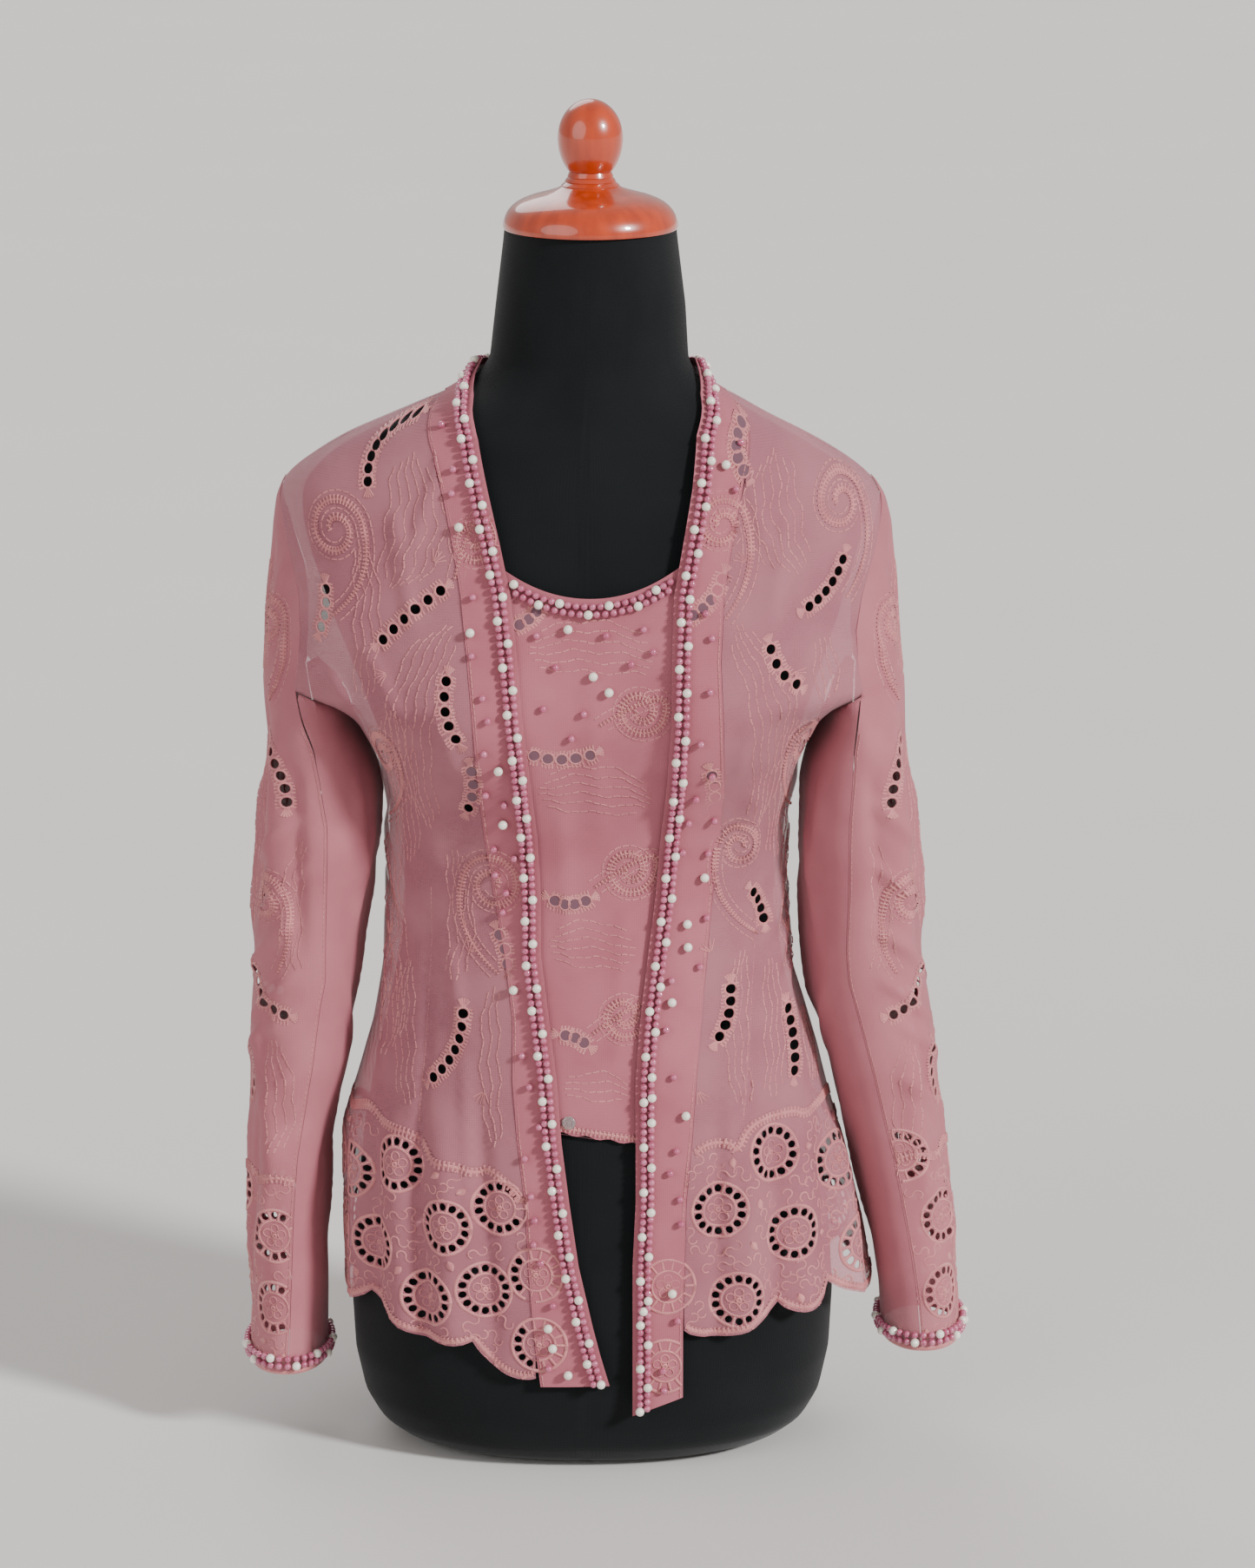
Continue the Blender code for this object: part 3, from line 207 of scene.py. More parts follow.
# Soft folds and creases: start, end, half width and how far each stands out of the chart
FOLDS = {
    "right": (
        (-99, 262, -90, 50, 19, 6.5), (-135, 250, -128, 50, 17, 6.0), (-168, 246, -176, 50, 19, 6.5),
        (-185, 440, -118, 350, 15, 4.0), (-112, 470, -104, 395, 15, 3.5),
        (-74, 268, -63, 60, 10, -3.4), (-116, 262, -111, 60, 8, -3.0), (-151, 250, -152, 60, 8, -3.0),
        (-190, 470, -140, 400, 7, 2.8), (-192, 410, -130, 322, 8, 3.2), (-188, 380, -140, 300, 6, 2.6),
        (-150, 560, -120, 505, 8, 2.6), (-100, 520, -84, 470, 7, 2.2), (-128, 650, -112, 560, 9, 2.2),
        (-109, 396, -116, 200, 5, -2.4), (-95, 360, -84, 290, 7, 2.6), (-160, 330, -150, 260, 8, 3.0),
        (-180, 540, -150, 500, 6, 2.4), (-90, 690, -120, 600, 8, 1.8), (-84, 300, -78, 130, 6, 2.4),
    ),
    "left": (
        (106, 246, 101, 50, 18, 6.5), (145, 245, 146, 50, 19, 6.0), (188, 240, 194, 50, 20, 6.5),
        (182, 436, 122, 346, 15, 4.0), (112, 470, 108, 395, 15, 3.5),
        (84, 250, 80, 60, 8, -3.0), (124, 262, 123, 60, 8, -3.2), (166, 250, 168, 60, 8, -3.0),
        (188, 470, 138, 396, 7, 2.8), (186, 404, 128, 318, 8, 3.2), (182, 372, 138, 296, 6, 2.6),
        (148, 560, 120, 505, 8, 2.6), (104, 520, 94, 470, 7, 2.2), (130, 650, 114, 560, 9, 2.2),
        (122, 392, 100, 215, 5, -2.4), (98, 350, 92, 285, 7, 2.6), (150, 320, 152, 255, 8, 3.0),
        (178, 540, 150, 500, 6, 2.4), (92, 690, 120, 600, 8, 1.8), (92, 300, 90, 130, 6, 2.2),
    ),
    # Across is measured from the centre back, and each row is made on both sides
    "back": (
        (42, 255, 47, 50, 20, 6.5), (92, 255, 100, 50, 20, 6.5), (142, 250, 156, 50, 20, 6.5),
        (72, 420, 125, 340, 16, 4.0), (67, 262, 73, 60, 9, -3.0), (117, 258, 128, 60, 9, -3.0),
        (60, 390, 130, 310, 8, 3.0), (80, 450, 140, 380, 7, 2.7), (30, 380, 100, 300, 7, 2.6),
        (90, 600, 60, 520, 9, 2.4), (60, 650, 40, 560, 9, 2.2), (30, 300, 26, 230, 8, 2.6),
    ),
    "sleeve_right": (
        (40, 505, 47, 350, 15, 5.0), (60, 480, 69, 330, 10, -4.0), (30, 300, 52, 180, 16, 4.5),
        (-48, 480, -44, 330, 16, 4.5), (70, 440, 20, 395, 8, 3.2), (76, 408, 22, 352, 7, 3.0),
        (70, 370, 10, 318, 8, 3.4), (72, 332, 14, 286, 7, 3.0), (60, 300, 0, 258, 8, 3.0),
        (66, 262, 24, 224, 7, 2.6), (10, 470, 0, 330, 8, 3.2), (56, 230, 30, 110, 9, 3.0),
        (-10, 320, -55, 270, 8, 3.0), (-5, 280, -52, 236, 7, 2.8), (-12, 380, -60, 330, 8, 2.8),
        (10, 240, 18, 100, 9, 2.8), (-36, 230, -30, 110, 9, 2.6), (24, 520, 20, 360, 6, -2.6),
        (34, 610, 30, 530, 9, 2.4), (14, 620, 16, 540, 7, -2.0), (50, 330, 20, 120, 6, -2.4),
        (0, 200, -6, 80, 7, 2.4), (50, 560, 30, 500, 7, 2.6),
    ),
    "sleeve_left": (
        (68, 480, 62, 330, 10, -4.0), (46, 490, 42, 320, 15, 5.0), (50, 285, 42, 150, 15, 4.5),
        (-48, 480, -44, 330, 16, 4.5), (72, 450, 18, 400, 8, 3.2), (74, 410, 20, 360, 7, 3.0),
        (72, 366, 12, 318, 8, 3.4), (70, 330, 12, 284, 7, 3.0), (60, 298, 0, 256, 8, 3.0),
        (62, 262, 22, 226, 7, 2.6), (10, 470, 2, 330, 8, 3.2), (30, 240, 22, 120, 9, 3.0),
        (-10, 320, -55, 270, 8, 3.0), (-5, 280, -52, 236, 7, 2.8), (-12, 380, -60, 330, 8, 2.8),
        (6, 250, 2, 120, 9, 2.8), (-36, 230, -30, 120, 9, 2.6), (26, 520, 22, 360, 6, -2.6),
        (36, 610, 32, 530, 9, 2.4), (16, 620, 18, 540, 7, -2.0), (46, 330, 14, 130, 6, -2.4),
        (52, 560, 32, 500, 7, 2.6),
    ),
    "insert": ((0, 560, 6, 420, 12, 1.4), (-20, 470, -14, 330, 10, 1.3), (22, 400, 16, 260, 9, 1.3)),
}

# Creases of each sleeve's under piece, across counted on past the outer piece
UNDER_FOLDS = (
    (104, 470, 120, 380, 8, 2.2), (130, 440, 110, 340, 8, 2.4), (150, 400, 140, 280, 9, 2.4),
    (100, 330, 130, 260, 8, 2.2), (110, 250, 120, 130, 8, 2.2), (160, 470, 168, 380, 8, 2.0),
    (150, 240, 140, 120, 8, 2.2),
)

# Chains of eyelets: start, end, bend to the left, count
CHAINS = {
    "right": (
        (-121, 697, -145, 653, -11, 8), (-91, 596, -138, 557, -1.5, 6), (-90, 543, -83, 497, -6, 5),
        (-77, 484, -81, 446, 4, 4), (-177, 592, -183, 560, 3, 4), (-84, 315, -110, 264, 7, 7),
    ),
    "left": (
        (107, 694, 101, 661, -9, 5), (170, 610, 140, 578, 5, 6), (115, 561, 139, 530, -5, 4),
        (112, 387, 124, 362, 3, 4), (93, 329, 83, 292, 4, 5), (143, 307, 145, 260, 3, 6),
    ),
    "back": (
        (35, 640, 68, 612, 8, 5), (45, 540, 83, 509, -8, 6), (25, 440, 52, 409, 8, 5),
        (35, 320, 66, 289, 8, 5), (123, 300, 110, 262, 6, 5),
    ),
    "sleeve": (
        (30, 485, 55, 440, 7, 6), (25, 330, 62, 300, -7, 6), (22, 275, 14, 235, 5, 5),
        (-20, 320, -52, 290, 7, 6),
    ),
}
# Chains stitched on a lining, so their holes are dimples with no gap, dark with painted shade
BLIND_CHAINS = {
    "right": ((-62, 368, -54, 340, 2, 3),),
    "left": ((85, 604, 62, 577, 4, 5), (76, 480, 78, 446, 3, 4)),
    "insert": (
        (-48, 572, -32, 584, -2, 3), (-40, 490, 4, 490, -5, 5), (-27, 389, 0, 389, -4, 4),
        (-20, 300, -2, 293, 2, 3),
    ),
}
# Centre, radius, start angle in degrees, sense, then the end of the tail
SPIRALS = {
    "right": (
        (-168, 626, 21, 200, -1, -171, 572), (-74, 625, 15, 200, 1, -86, 600),
        (-64, 397, 21, 340, 1, -60, 338),
        (-150, 480, 17, 200, -1, -160, 430),
    ),
    "left": (
        (168, 642, 20, 200, -1, 172, 582), (84, 634, 17, 200, -1, 86, 576), (100, 420, 16, 340, 1, 120, 356),
        (158, 486, 17, 340, 1, 165, 436),
    ),
    "back": (
        (100, 655, 18, 340, 1, 104, 600), (60, 480, 18, 340, 1, 50, 430), (120, 520, 18, 20, -1, 130, 470),
        (75, 360, 18, 340, 1, 92, 310),
    ),
    "insert": ((32, 518, 16, 160, 1, 6, 508), (26, 408, 17, 160, 1, 2, 396), (22, 312, 15, 160, 1, 0, 300)),
    "sleeve": (
        (42, 378, 17, 200, -1, 52, 328), (-36, 400, 17, 200, -1, -40, 352), (30, 560, 16, 200, -1, 34, 510),
    ),
}
# Border rings: girth and height of each middle
RINGS = {
    "right": (
        (-96, 171), (-109, 121), (-131, 208), (-172, 196), (-152, 150), (-60, 186), (-70, 130), (-36, 142),
        (-34, 95), (-194, 150), (-213, 198),
    ),
    "left": (
        (84, 183), (123, 216), (136, 162), (96, 123), (182, 199), (195, 142), (228, 178), (50, 134), (48, 80),
    ),
    "back": tuple((g, 190) for g in range(-208, 212, 52)) + tuple((g, 136) for g in range(-182, 240, 52)),
    "sleeve_right": ((50, 148), (48, 98), (4, 172), (2, 120), (-44, 150), (-42, 98)),
    "sleeve_left": ((34, 158), (38, 107), (62, 204), (-14, 184), (-12, 130), (-54, 160), (-52, 108)),
}
# Girth and height along the border's satin top
BORDER_TOPS = {
    "right": (
        (-205, 240), (-192, 231), (-175, 236), (-160, 240), (-150, 233), (-139, 230), (-122, 229),
        (-109, 222), (-105, 213), (-88, 212), (-75, 207), (-67, 212), (-49, 198), (-45, 190),
    ),
    "left": (
        (68, 221), (75, 227), (92, 227), (96, 219), (105, 235), (120, 239), (142, 240), (152, 234),
        (177, 241), (193, 241), (210, 236),
    ),
    "sleeve_right": (
        (-60, 186), (-46, 192), (-30, 184), (-14, 192), (2, 185), (18, 190), (34, 182), (50, 190), (64, 186),
    ),
    "sleeve_left": (
        (-60, 202), (-46, 208), (-30, 200), (-14, 208), (2, 201), (18, 206), (34, 198), (50, 206), (64, 202),
    ),
    "back": tuple((g, 214 + 10 * math.sin(g / 11.0)) for g in np.linspace(-230, 250, 40)),
}
# Seed, lowest height and the two ends of each border's scrolls
BORDERS = {
    "right": (11, 74, -219, -39),
    "left": (11, 104, 66, 239),
    "back": (12, 100, -228, 246),
    "sleeve_right": (13, 78, -56, 58),
    "sleeve_left": (13, 94, -56, 58),
}
# A front's bust dart: its top and its foot
DARTS = {"right": ((-109, 390), (-117, 236)), "left": ((122, 384), (102, 240))}
# Sprays of thread on the right front, mirrored on the left: girth, height and turn
FEATHERS = ((-132, 540, 3.6), (-100, 610, 0.9), (-150, 350, 2.0), (-80, 350, 1.1), (-70, 262, 4.4))
# Groups of running stitches: start, end, how far they bow, lines, spacing, wave height, wave length
WAVES = {
    "right": (
        (-116, 676, -128, 590, 10, 7, 6.5, 1.6, 26), (-88, 575, -106, 430, -22, 6, 6.5, 1.2, 34),
        (-150, 620, -152, 520, 6, 4, 6.0, 1.5, 30), (-128, 520, -130, 400, -6, 6, 6.5, 1.5, 36),
        (-160, 420, -150, 270, 8, 6, 6.5, 1.6, 34), (-92, 420, -92, 330, 6, 4, 6.0, 1.2, 30),
        (-130, 340, -126, 245, -4, 4, 6.0, 1.4, 30), (-64, 330, -62, 225, -3, 3, 6.0, 1.2, 30),
    ),
    "left": (
        (122, 676, 134, 600, -10, 7, 6.5, 1.6, 26), (92, 575, 112, 430, 20, 6, 6.5, 1.2, 34),
        (152, 560, 158, 520, 3, 4, 6.0, 1.5, 30), (138, 510, 138, 400, 6, 6, 6.5, 1.5, 36),
        (168, 420, 158, 320, -8, 5, 6.5, 1.6, 34), (104, 350, 104, 245, -6, 4, 6.0, 1.2, 30),
        (128, 340, 124, 250, 4, 4, 6.0, 1.4, 30), (168, 300, 168, 250, 4, 4, 6.0, 1.4, 30),
    ),
    "back": (
        (40, 610, 52, 560, 6, 7, 6.5, 1.6, 26), (96, 600, 100, 430, 8, 5, 6.0, 1.4, 34),
        (20, 530, 22, 450, 6, 5, 6.0, 1.4, 30), (140, 480, 130, 330, -8, 6, 6.5, 1.6, 34),
        (30, 400, 34, 330, 6, 6, 6.0, 1.4, 30), (86, 310, 92, 225, 6, 4, 6.0, 1.4, 30),
        (160, 320, 170, 225, 6, 4, 6.0, 1.4, 30), (20, 290, 22, 225, 4, 5, 6.0, 1.4, 30),
    ),
    "insert": (
        (-40, 556, 44, 552, 5, 6, 6.5, 1.2, 30), (-34, 462, 40, 456, 5, 6, 6.5, 1.2, 30),
        (-28, 358, 30, 352, 4, 6, 6.0, 1.2, 30), (-18, 266, 26, 262, 3, 4, 6.0, 1.2, 30),
    ),
    "sleeve": (
        (8, 600, 14, 520, 6, 5, 6.0, 1.4, 28), (6, 480, 10, 350, 6, 5, 6.5, 1.5, 34),
        (66, 420, 66, 330, -4, 3, 6.0, 1.4, 30), (-12, 470, -22, 330, -6, 3, 6.0, 1.4, 30),
        (-52, 470, -56, 340, 4, 3, 6.0, 1.4, 30), (48, 284, 52, 205, 5, 4, 6.0, 1.4, 30),
        (-8, 290, -6, 205, 5, 4, 6.0, 1.4, 30), (-40, 280, -42, 205, 4, 4, 6.0, 1.4, 30),
    ),
}
# Girth and height of the loose pearls below the insert's neckline
INSERT_PEARLS = (
    (-34, 566), (-14, 570), (10, 566), (34, 570), (-22, 546), (2, 540), (26, 548), (-30, 520), (-4, 516),
    (12, 530), (40, 556), (-12, 500),
)

# Radius and height down the turned cap, with three fine grooves in its collar
CAP_PROFILE = (
    (13.6, 847.6), (14.2, 845.9), (14.8, 844.5), (14.5, 844.0), (15.6, 842.8), (16.4, 841.5), (16.1, 841.0),
    (17.6, 839.8), (18.7, 838.8), (18.5, 838.3), (20.4, 837.2), (22.6, 836.3), (26.0, 835.2), (31.0, 833.8),
    (37.0, 832.2), (43.0, 830.0), (47.0, 828.0), (50.2, 825.6), (52.8, 822.8), (54.6, 819.8), (55.8, 816.6),
    (56.3, 814.0), (56.2, 812.2), (55.6, 811.3),
)
KNOB = {"top": 893.8, "foot": 847.8, "half_width": 21.0, "widest_at": 0.46, "lower_reach": 0.62}
# Radius and height over the press stud, and its place on the chart
STUD_PROFILE = (
    (0.0, 0.9), (1.0, 0.9), (1.2, 0.35), (2.2, 0.3), (2.5, 0.75), (3.9, 0.7), (4.4, 0.3), (4.5, -0.3),
    (4.3, -0.85), (0.0, -0.9),
)
STUD_PLACE = (-14.5, 243.0)
STUD_SIDES = 40

# Studio, in metres: each lamp's place, its softness in degrees and its strength
LAMPS = {
    "key": ((2.7, -1.9, 2.2), 8.0, 4.2),
    "fill": ((-2.4, -2.6, 1.6), 50.0, 1.0),
    "back": ((-0.8, 2.4, 2.4), 40.0, 1.0),
}
LAMPS_AIM = (0.02, 0.0, 0.45)
AIR_LIGHT = 0.62
FLOOR_REACH = 30.0
CAMERA = {"place": (0.0237, -3.39604, 1.29119), "down_degrees": 14.0, "lens": 122.4, "sensor": 36.0}

# What has been made: finishes by name
LOOKS = {}


def hex_colour(text):
    """An sRGB hex colour as linear red, green, blue and alpha."""
    parts = [int(text[k : k + 2], 16) / 255.0 for k in (0, 2, 4)]
    return (*[p / 12.92 if p <= 0.04045 else ((p + 0.055) / 1.055) ** 2.4 for p in parts], 1.0)


def smooth_column(rows, index, low, high, reach=6):
    """One column of a section table against height, every Z_STEP, with its corners rounded off."""
    rows = np.array(rows, float)
    z = np.arange(low - 20.0, high + 21.0)
    weights = np.hanning(2 * reach + 3)[1:-1]
    smooth = np.convolve(np.interp(z, rows[:, 0], rows[:, index]), weights / weights.sum(), mode="valid")
    return np.interp(np.arange(low, high + Z_STEP / 2, Z_STEP), z[reach:-reach], smooth)


def power(value, exponent):
    return np.sign(value) * np.abs(value) ** exponent


def with_bust(x, y, z):
    """Moves the front out over the two bust points."""
    spread = np.where(z > BUST["height"], BUST["above"], BUST["below"])
    for middle in (-BUST["half_spacing"], BUST["half_spacing"]):
        fall = ((x - middle) / BUST["across"]) ** 2 + ((z - BUST["height"]) / spread) ** 2
        y = y - BUST["out"] * np.exp(-fall / 2) * np.clip(-y / 40.0, 0.0, 1.0)
    return y


def ring_points(angle, right, left, front, back, roundness):
    """A horizontal section: angle 0 is the centre front, a quarter turn is the wearer's left."""
    side, face = np.sin(angle), np.cos(angle)
    x = np.where(side < 0, right, left) * power(side, 2.0 / roundness)
    y = -np.where(face > 0, front, back) * power(face, 2.0 / roundness)
    return x, y


class Chart:
    """A surface of closed horizontal sections, charted by girth and height."""

    def charted(self, heights, x, y, start):
        steps = np.hypot(np.diff(x, axis=1), np.diff(y, axis=1))
        girth = np.concatenate([np.zeros((len(steps), 1)), np.cumsum(steps, axis=1)], axis=1)
        self.heights, self.x, self.y = heights, x, y
        self.girth = girth - girth[:, start : start + 1]
        self.first = self.girth[:, 0]
        self.whole_girth = self.girth[:, -1] - self.girth[:, 0]
        shares = np.linspace(0.0, 1.0, EVEN_STEPS)
        places = self.first[:, None] + shares * self.whole_girth[:, None]
        self.even = np.stack(
            [[np.interp(*row) for row in zip(places, self.girth, table)] for table in (x, y)], axis=-1
        )

    def on_row(self, row, girth):
        """Where these girths lie on these sections, going on round past the last column."""
        share = (girth - self.first[row]) / self.whole_girth[row] % 1.0 * (EVEN_STEPS - 1)
        low = np.minimum(share.astype(int), EVEN_STEPS - 2)
        blend = (share - low)[..., None]
        return self.even[row, low] * (1 - blend) + self.even[row, low + 1] * blend

    def section_point(self, girth, z):
        girth, z = np.broadcast_arrays(girth, z)
        place = np.clip((z - self.heights[0]) / Z_STEP, 0.0, len(self.heights) - 1.001)
        low = np.floor(place).astype(int)
        blend = (place - low)[..., None]
        flat = self.on_row(low, girth) * (1 - blend) + self.on_row(low + 1, girth) * blend
        return np.concatenate([flat, z[..., None]], axis=-1)


class Girth(Chart):
    """The worn garment's surface, charted by girth from the centre front and by height."""

    def __init__(self):
        heights = np.arange(0.0, Z_TOP + Z_STEP / 2, Z_STEP)
        columns = [smooth_column(GARMENT_SECTIONS, i, 0.0, Z_TOP)[:, None] for i in range(1, 6)]
        x, y = ring_points(np.linspace(-np.pi, np.pi, 721)[None, :], *columns)
        self.charted(heights, x, with_bust(x, y, heights[:, None]), 360)

    def side(self, which, z):
        """Girth of the side line and shoulder ridge, a quarter turn from the centre front."""
        return np.interp(z, self.heights, self.girth[:, 540 if which == "left" else 180])

    def centre_back(self, which, z):
        return np.interp(z, self.heights, self.girth[:, -1 if which == "left" else 0])

    def half_width(self, which, y, z):
        """How far out the body reaches at rows of depths, one row for each height."""
        columns = slice(400, 681) if which == "left" else slice(320, 39, -1)
        out = np.empty(y.shape)
        for k, height in enumerate(z):
            row = int(round(float(height) / Z_STEP))
            out[k] = np.abs(np.interp(y[k], self.y[row, columns], self.x[row, columns]))
        return out


GIRTH = Girth()


def back_point(across, z):
    """The garment's surface, charted from the centre back, positive to the wearer's left."""
    ends = [GIRTH.centre_back(which, z) - across for which in ("left", "right")]
    return GIRTH.section_point(np.where(across >= 0, *ends), z)


class Sleeve(Chart):
    """One sleeve's surface, charted by girth from its outermost line and by height."""

    def __init__(self, which):
        rows = SLEEVES[which]
        self.which = which
        self.sign = SIGN[which]
        low = rows[0][0]
        heights = np.arange(low, UNDERARM_HIGH + Z_STEP / 2, Z_STEP)
        outer, inner, depth, middle = (
            smooth_column(rows, i, low, UNDERARM_HIGH, 8)[: len(heights), None] for i in range(1, 5)
        )
        z = heights[:, None]
        angle = np.linspace(-np.pi, np.pi, 361)[None, :]
        y = -depth * power(np.sin(angle), 0.94)
        corner = outer * np.clip(1.0 - (depth / 100.0) ** 2.3, 0.0, 1.0) ** (1 / 2.3)
        cap = outer * (1.0 - (np.abs(y) / 100.0) ** 2.3) ** (1 / 2.3)
        centre = (outer + inner) / 2
        tube = centre + (outer - centre) * power(np.cos(angle), 0.94)
        share = np.clip((UNDERARM_HIGH - z) / 60.0, 0.0, 1.0)
        share = share * share * (3 - 2 * share)
        front = cap + share * (tube - cap)
        waist = corner + share * (centre - corner)
        rear = waist + (waist - inner) * power(np.cos(angle), 0.94)
        x = np.where(np.cos(angle) >= 0, front, rear)
        y = y + middle
        body = GIRTH.half_width(which, y, heights)
        gap = 1.6 + 2.0 * np.clip((UNDERARM_LOW - z) / 30.0, 0.0, 1.0)
        seam = UNDERARM_LOW + (UNDERARM_HIGH - UNDERARM_LOW) * (y / depth) ** 2
        x = np.where((np.cos(angle) < 0.2) & (z < seam + 2.0), np.maximum(x, body + gap), x)
        self.charted(heights, self.sign * x, y, 180)

    def whole(self, z):
        """Girth right round the sleeve."""
        return float(np.interp(z, self.heights, self.girth[:, -1] - self.girth[:, 0]))

    def underarm(self):
        """The under piece's top, from near the front corner round by the inner line to the back."""
        points = []
        for out in np.linspace(-0.96, 0.96, 17):
            z = UNDERARM_LOW + (UNDERARM_HIGH - UNDERARM_LOW) * out**2
            row = int(round((z - self.heights[0]) / Z_STEP))
            reach = self.girth[row, -1] - self.girth[row, 270]
            points.append((float(self.girth[row, -1] + out * reach), z))
        return points

    def point(self, across, z):
        cap = GIRTH.section_point(GIRTH.side(self.which, z) - self.sign * across, z)
        return np.where((z >= UNDERARM_HIGH)[..., None], cap, self.section_point(across, z))


def normals(surface, chart, outward):
    """Unit normals of a charted surface at chart points, pointing away from the hollow."""
    step = 1.5
    across = surface(chart[:, 0] + step, chart[:, 1]) - surface(chart[:, 0] - step, chart[:, 1])
    up = surface(chart[:, 0], chart[:, 1] + step) - surface(chart[:, 0], chart[:, 1] - step)
    cross = np.cross(across, up) * outward
    return cross / np.linalg.norm(cross, axis=1)[:, None]


def fold_height(chart, folds):
    """How far the folds stand out at chart points."""
    height = np.zeros(len(chart))
    for start_g, start_z, end_g, end_z, reach, out in folds:
        start = np.array([start_g, start_z], float)
        along = np.array([end_g, end_z], float) - start
        share = np.clip((chart - start) @ along / (along @ along), 0.0, 1.0)
        away = np.linalg.norm(chart - start - share[:, None] * along, axis=1)
        crown = np.cos(np.clip(away / reach, 0.0, 1.0) * math.pi / 2) ** 2
        taper = np.clip(np.minimum(share, 1.0 - share) / 0.25, 0.0, 1.0)
        height += out * crown * taper * taper * (3 - 2 * taper)
    return height


def ripple(chart, strength):
    """The faint unevenness of soft cloth, a few slow waves crossing at odd angles."""
    g, z = chart[:, 0], chart[:, 1]
    waves = np.sin(g / 9.3 + z / 31.0) + np.sin(g / 14.1 - z / 21.0 + 1.3) + np.sin(z / 11.7 + g / 37.0 + 2.1)
    return strength * waves / 3.0


def folded(surface, folds, outward, strength=0.0):
    """A charted surface with its folds raised along its normals."""

    def raised(across, z):
        chart = np.stack([across, z], axis=1)
        height = fold_height(chart, folds) + ripple(chart, strength)
        return surface(across, z) + height[:, None] * normals(surface, chart, outward)

    return raised


def moved(points, distance):
    """A polyline moved to its left by a distance."""
    points = np.array(points, float)
    along = np.gradient(points, axis=0)
    along /= np.linalg.norm(along, axis=1)[:, None]
    return points + distance * np.stack([-along[:, 1], along[:, 0]], axis=1)


def inside(points, outline):
    """Whether each chart point lies in a closed outline."""
    x, y = points[:, 0], points[:, 1]
    found = np.zeros(len(points), bool)
    for a, b in zip(outline, np.roll(outline, -1, axis=0)):
        rise = b[1] - a[1] if b[1] != a[1] else 1e-9
        found ^= ((a[1] > y) != (b[1] > y)) & (x < (b[0] - a[0]) * (y - a[1]) / rise + a[0])
    return found


def distance_to(points, outline):
    """Distance of each chart point to a closed outline."""
    best = np.full(len(points), np.inf)
    for a, b in zip(outline, np.roll(outline, -1, axis=0)):
        edge = b - a
        share = np.clip((points - a) @ edge / max(edge @ edge, 1e-9), 0.0, 1.0)
        best = np.minimum(best, np.linalg.norm(points - a - share[:, None] * edge, axis=1))
    return best


def resampled(outline, step):
    """A closed outline with its long edges divided."""
    points = []
    for a, b in zip(outline, np.roll(outline, -1, axis=0)):
        count = max(1, int(round(float(np.linalg.norm(b - a)) / step)))
        points += [a + (b - a) * k / count for k in range(count)]
    points = np.array(points)
    return points[np.linalg.norm(points - np.roll(points, 1, axis=0), axis=1) > 0.25 * step]


def grid(outline, spacing):
    """Staggered chart points over an outline, closer together on the shoulder slope."""
    low, high = outline.min(axis=0), outline.max(axis=0)
    rows = []
    z = low[1] + spacing / 2
    while z < high[1]:
        here = spacing * (0.55 if z > SHOULDER_START else 1.0)
        start = low[0] + (0.25 if len(rows) % 2 else 0.75) * here
        across = np.arange(start, high[0], here)
        rows.append(np.stack([across, np.full(len(across), z)], axis=1))
        z += here * 0.87
    return np.concatenate(rows)


def triangulate(outline, holes, spacing):
    """Chart triangles over an outline less its holes."""
    fill = grid(outline, spacing)
    fill = fill[inside(fill, outline)]
    fill = fill[distance_to(fill, outline) > 0.35 * spacing]
    for hole in holes:
        middle = hole.mean(axis=0)
        reach = np.linalg.norm(hole - middle, axis=1).max()
        fill = fill[np.linalg.norm(fill - middle, axis=1) > reach + 0.25 * spacing]
    points = []
    edges = []
    for loop in [outline] + holes:
        first = len(points)
        points += [Vector(p) for p in loop]
        edges += [(first + k, first + (k + 1) % len(loop)) for k in range(len(loop))]
    points += [Vector(p) for p in fill]
    chart, _, faces, _, _, _ = delaunay_2d_cdt(points, edges, [], 1, 1e-4, False)
    chart = np.array([(p[0], p[1]) for p in chart])
    faces = np.array([face for face in faces])
    middles = chart[faces].mean(axis=1)
    keep = inside(middles, outline)
    for hole in holes:
        near = np.linalg.norm(middles - hole.mean(axis=0), axis=1) < 8.0
        keep[near] &= ~inside(middles[near], hole)
    return chart, faces[keep]


def area_of(outline):
    """Flat area of a closed chart outline, in square metres."""
    x, y = outline[:, 0], outline[:, 1]
    return abs(float(np.sum(x * np.roll(y, -1) - y * np.roll(x, -1)))) / 2 * MM * MM


def direction(angle):
    """The unit step at an angle on a chart."""
    return np.array([math.cos(angle), math.sin(angle)])


def disc(girth, z, radius, sides, turn=0.0):
    angles = turn + 2 * math.pi * np.arange(sides) / sides
    return np.stack([girth + radius * np.cos(angles), z + radius * np.sin(angles)], axis=1)


def chain_places(row):
    """Middles of a chain's eyelets and the direction that it runs in at each."""
    start_g, start_z, end_g, end_z, bend, count = row
    along = np.array([end_g - start_g, end_z - start_z], float)
    side = np.array([-along[1], along[0]]) / np.linalg.norm(along)
    places = []
    for share in (np.arange(count) + 0.5) / count:
        middle = np.array([start_g, start_z]) + share * along + 4 * bend * share * (1 - share) * side
        run = along + 4 * bend * (1 - 2 * share) * side
        places.append((middle, run / np.linalg.norm(run)))
    return places


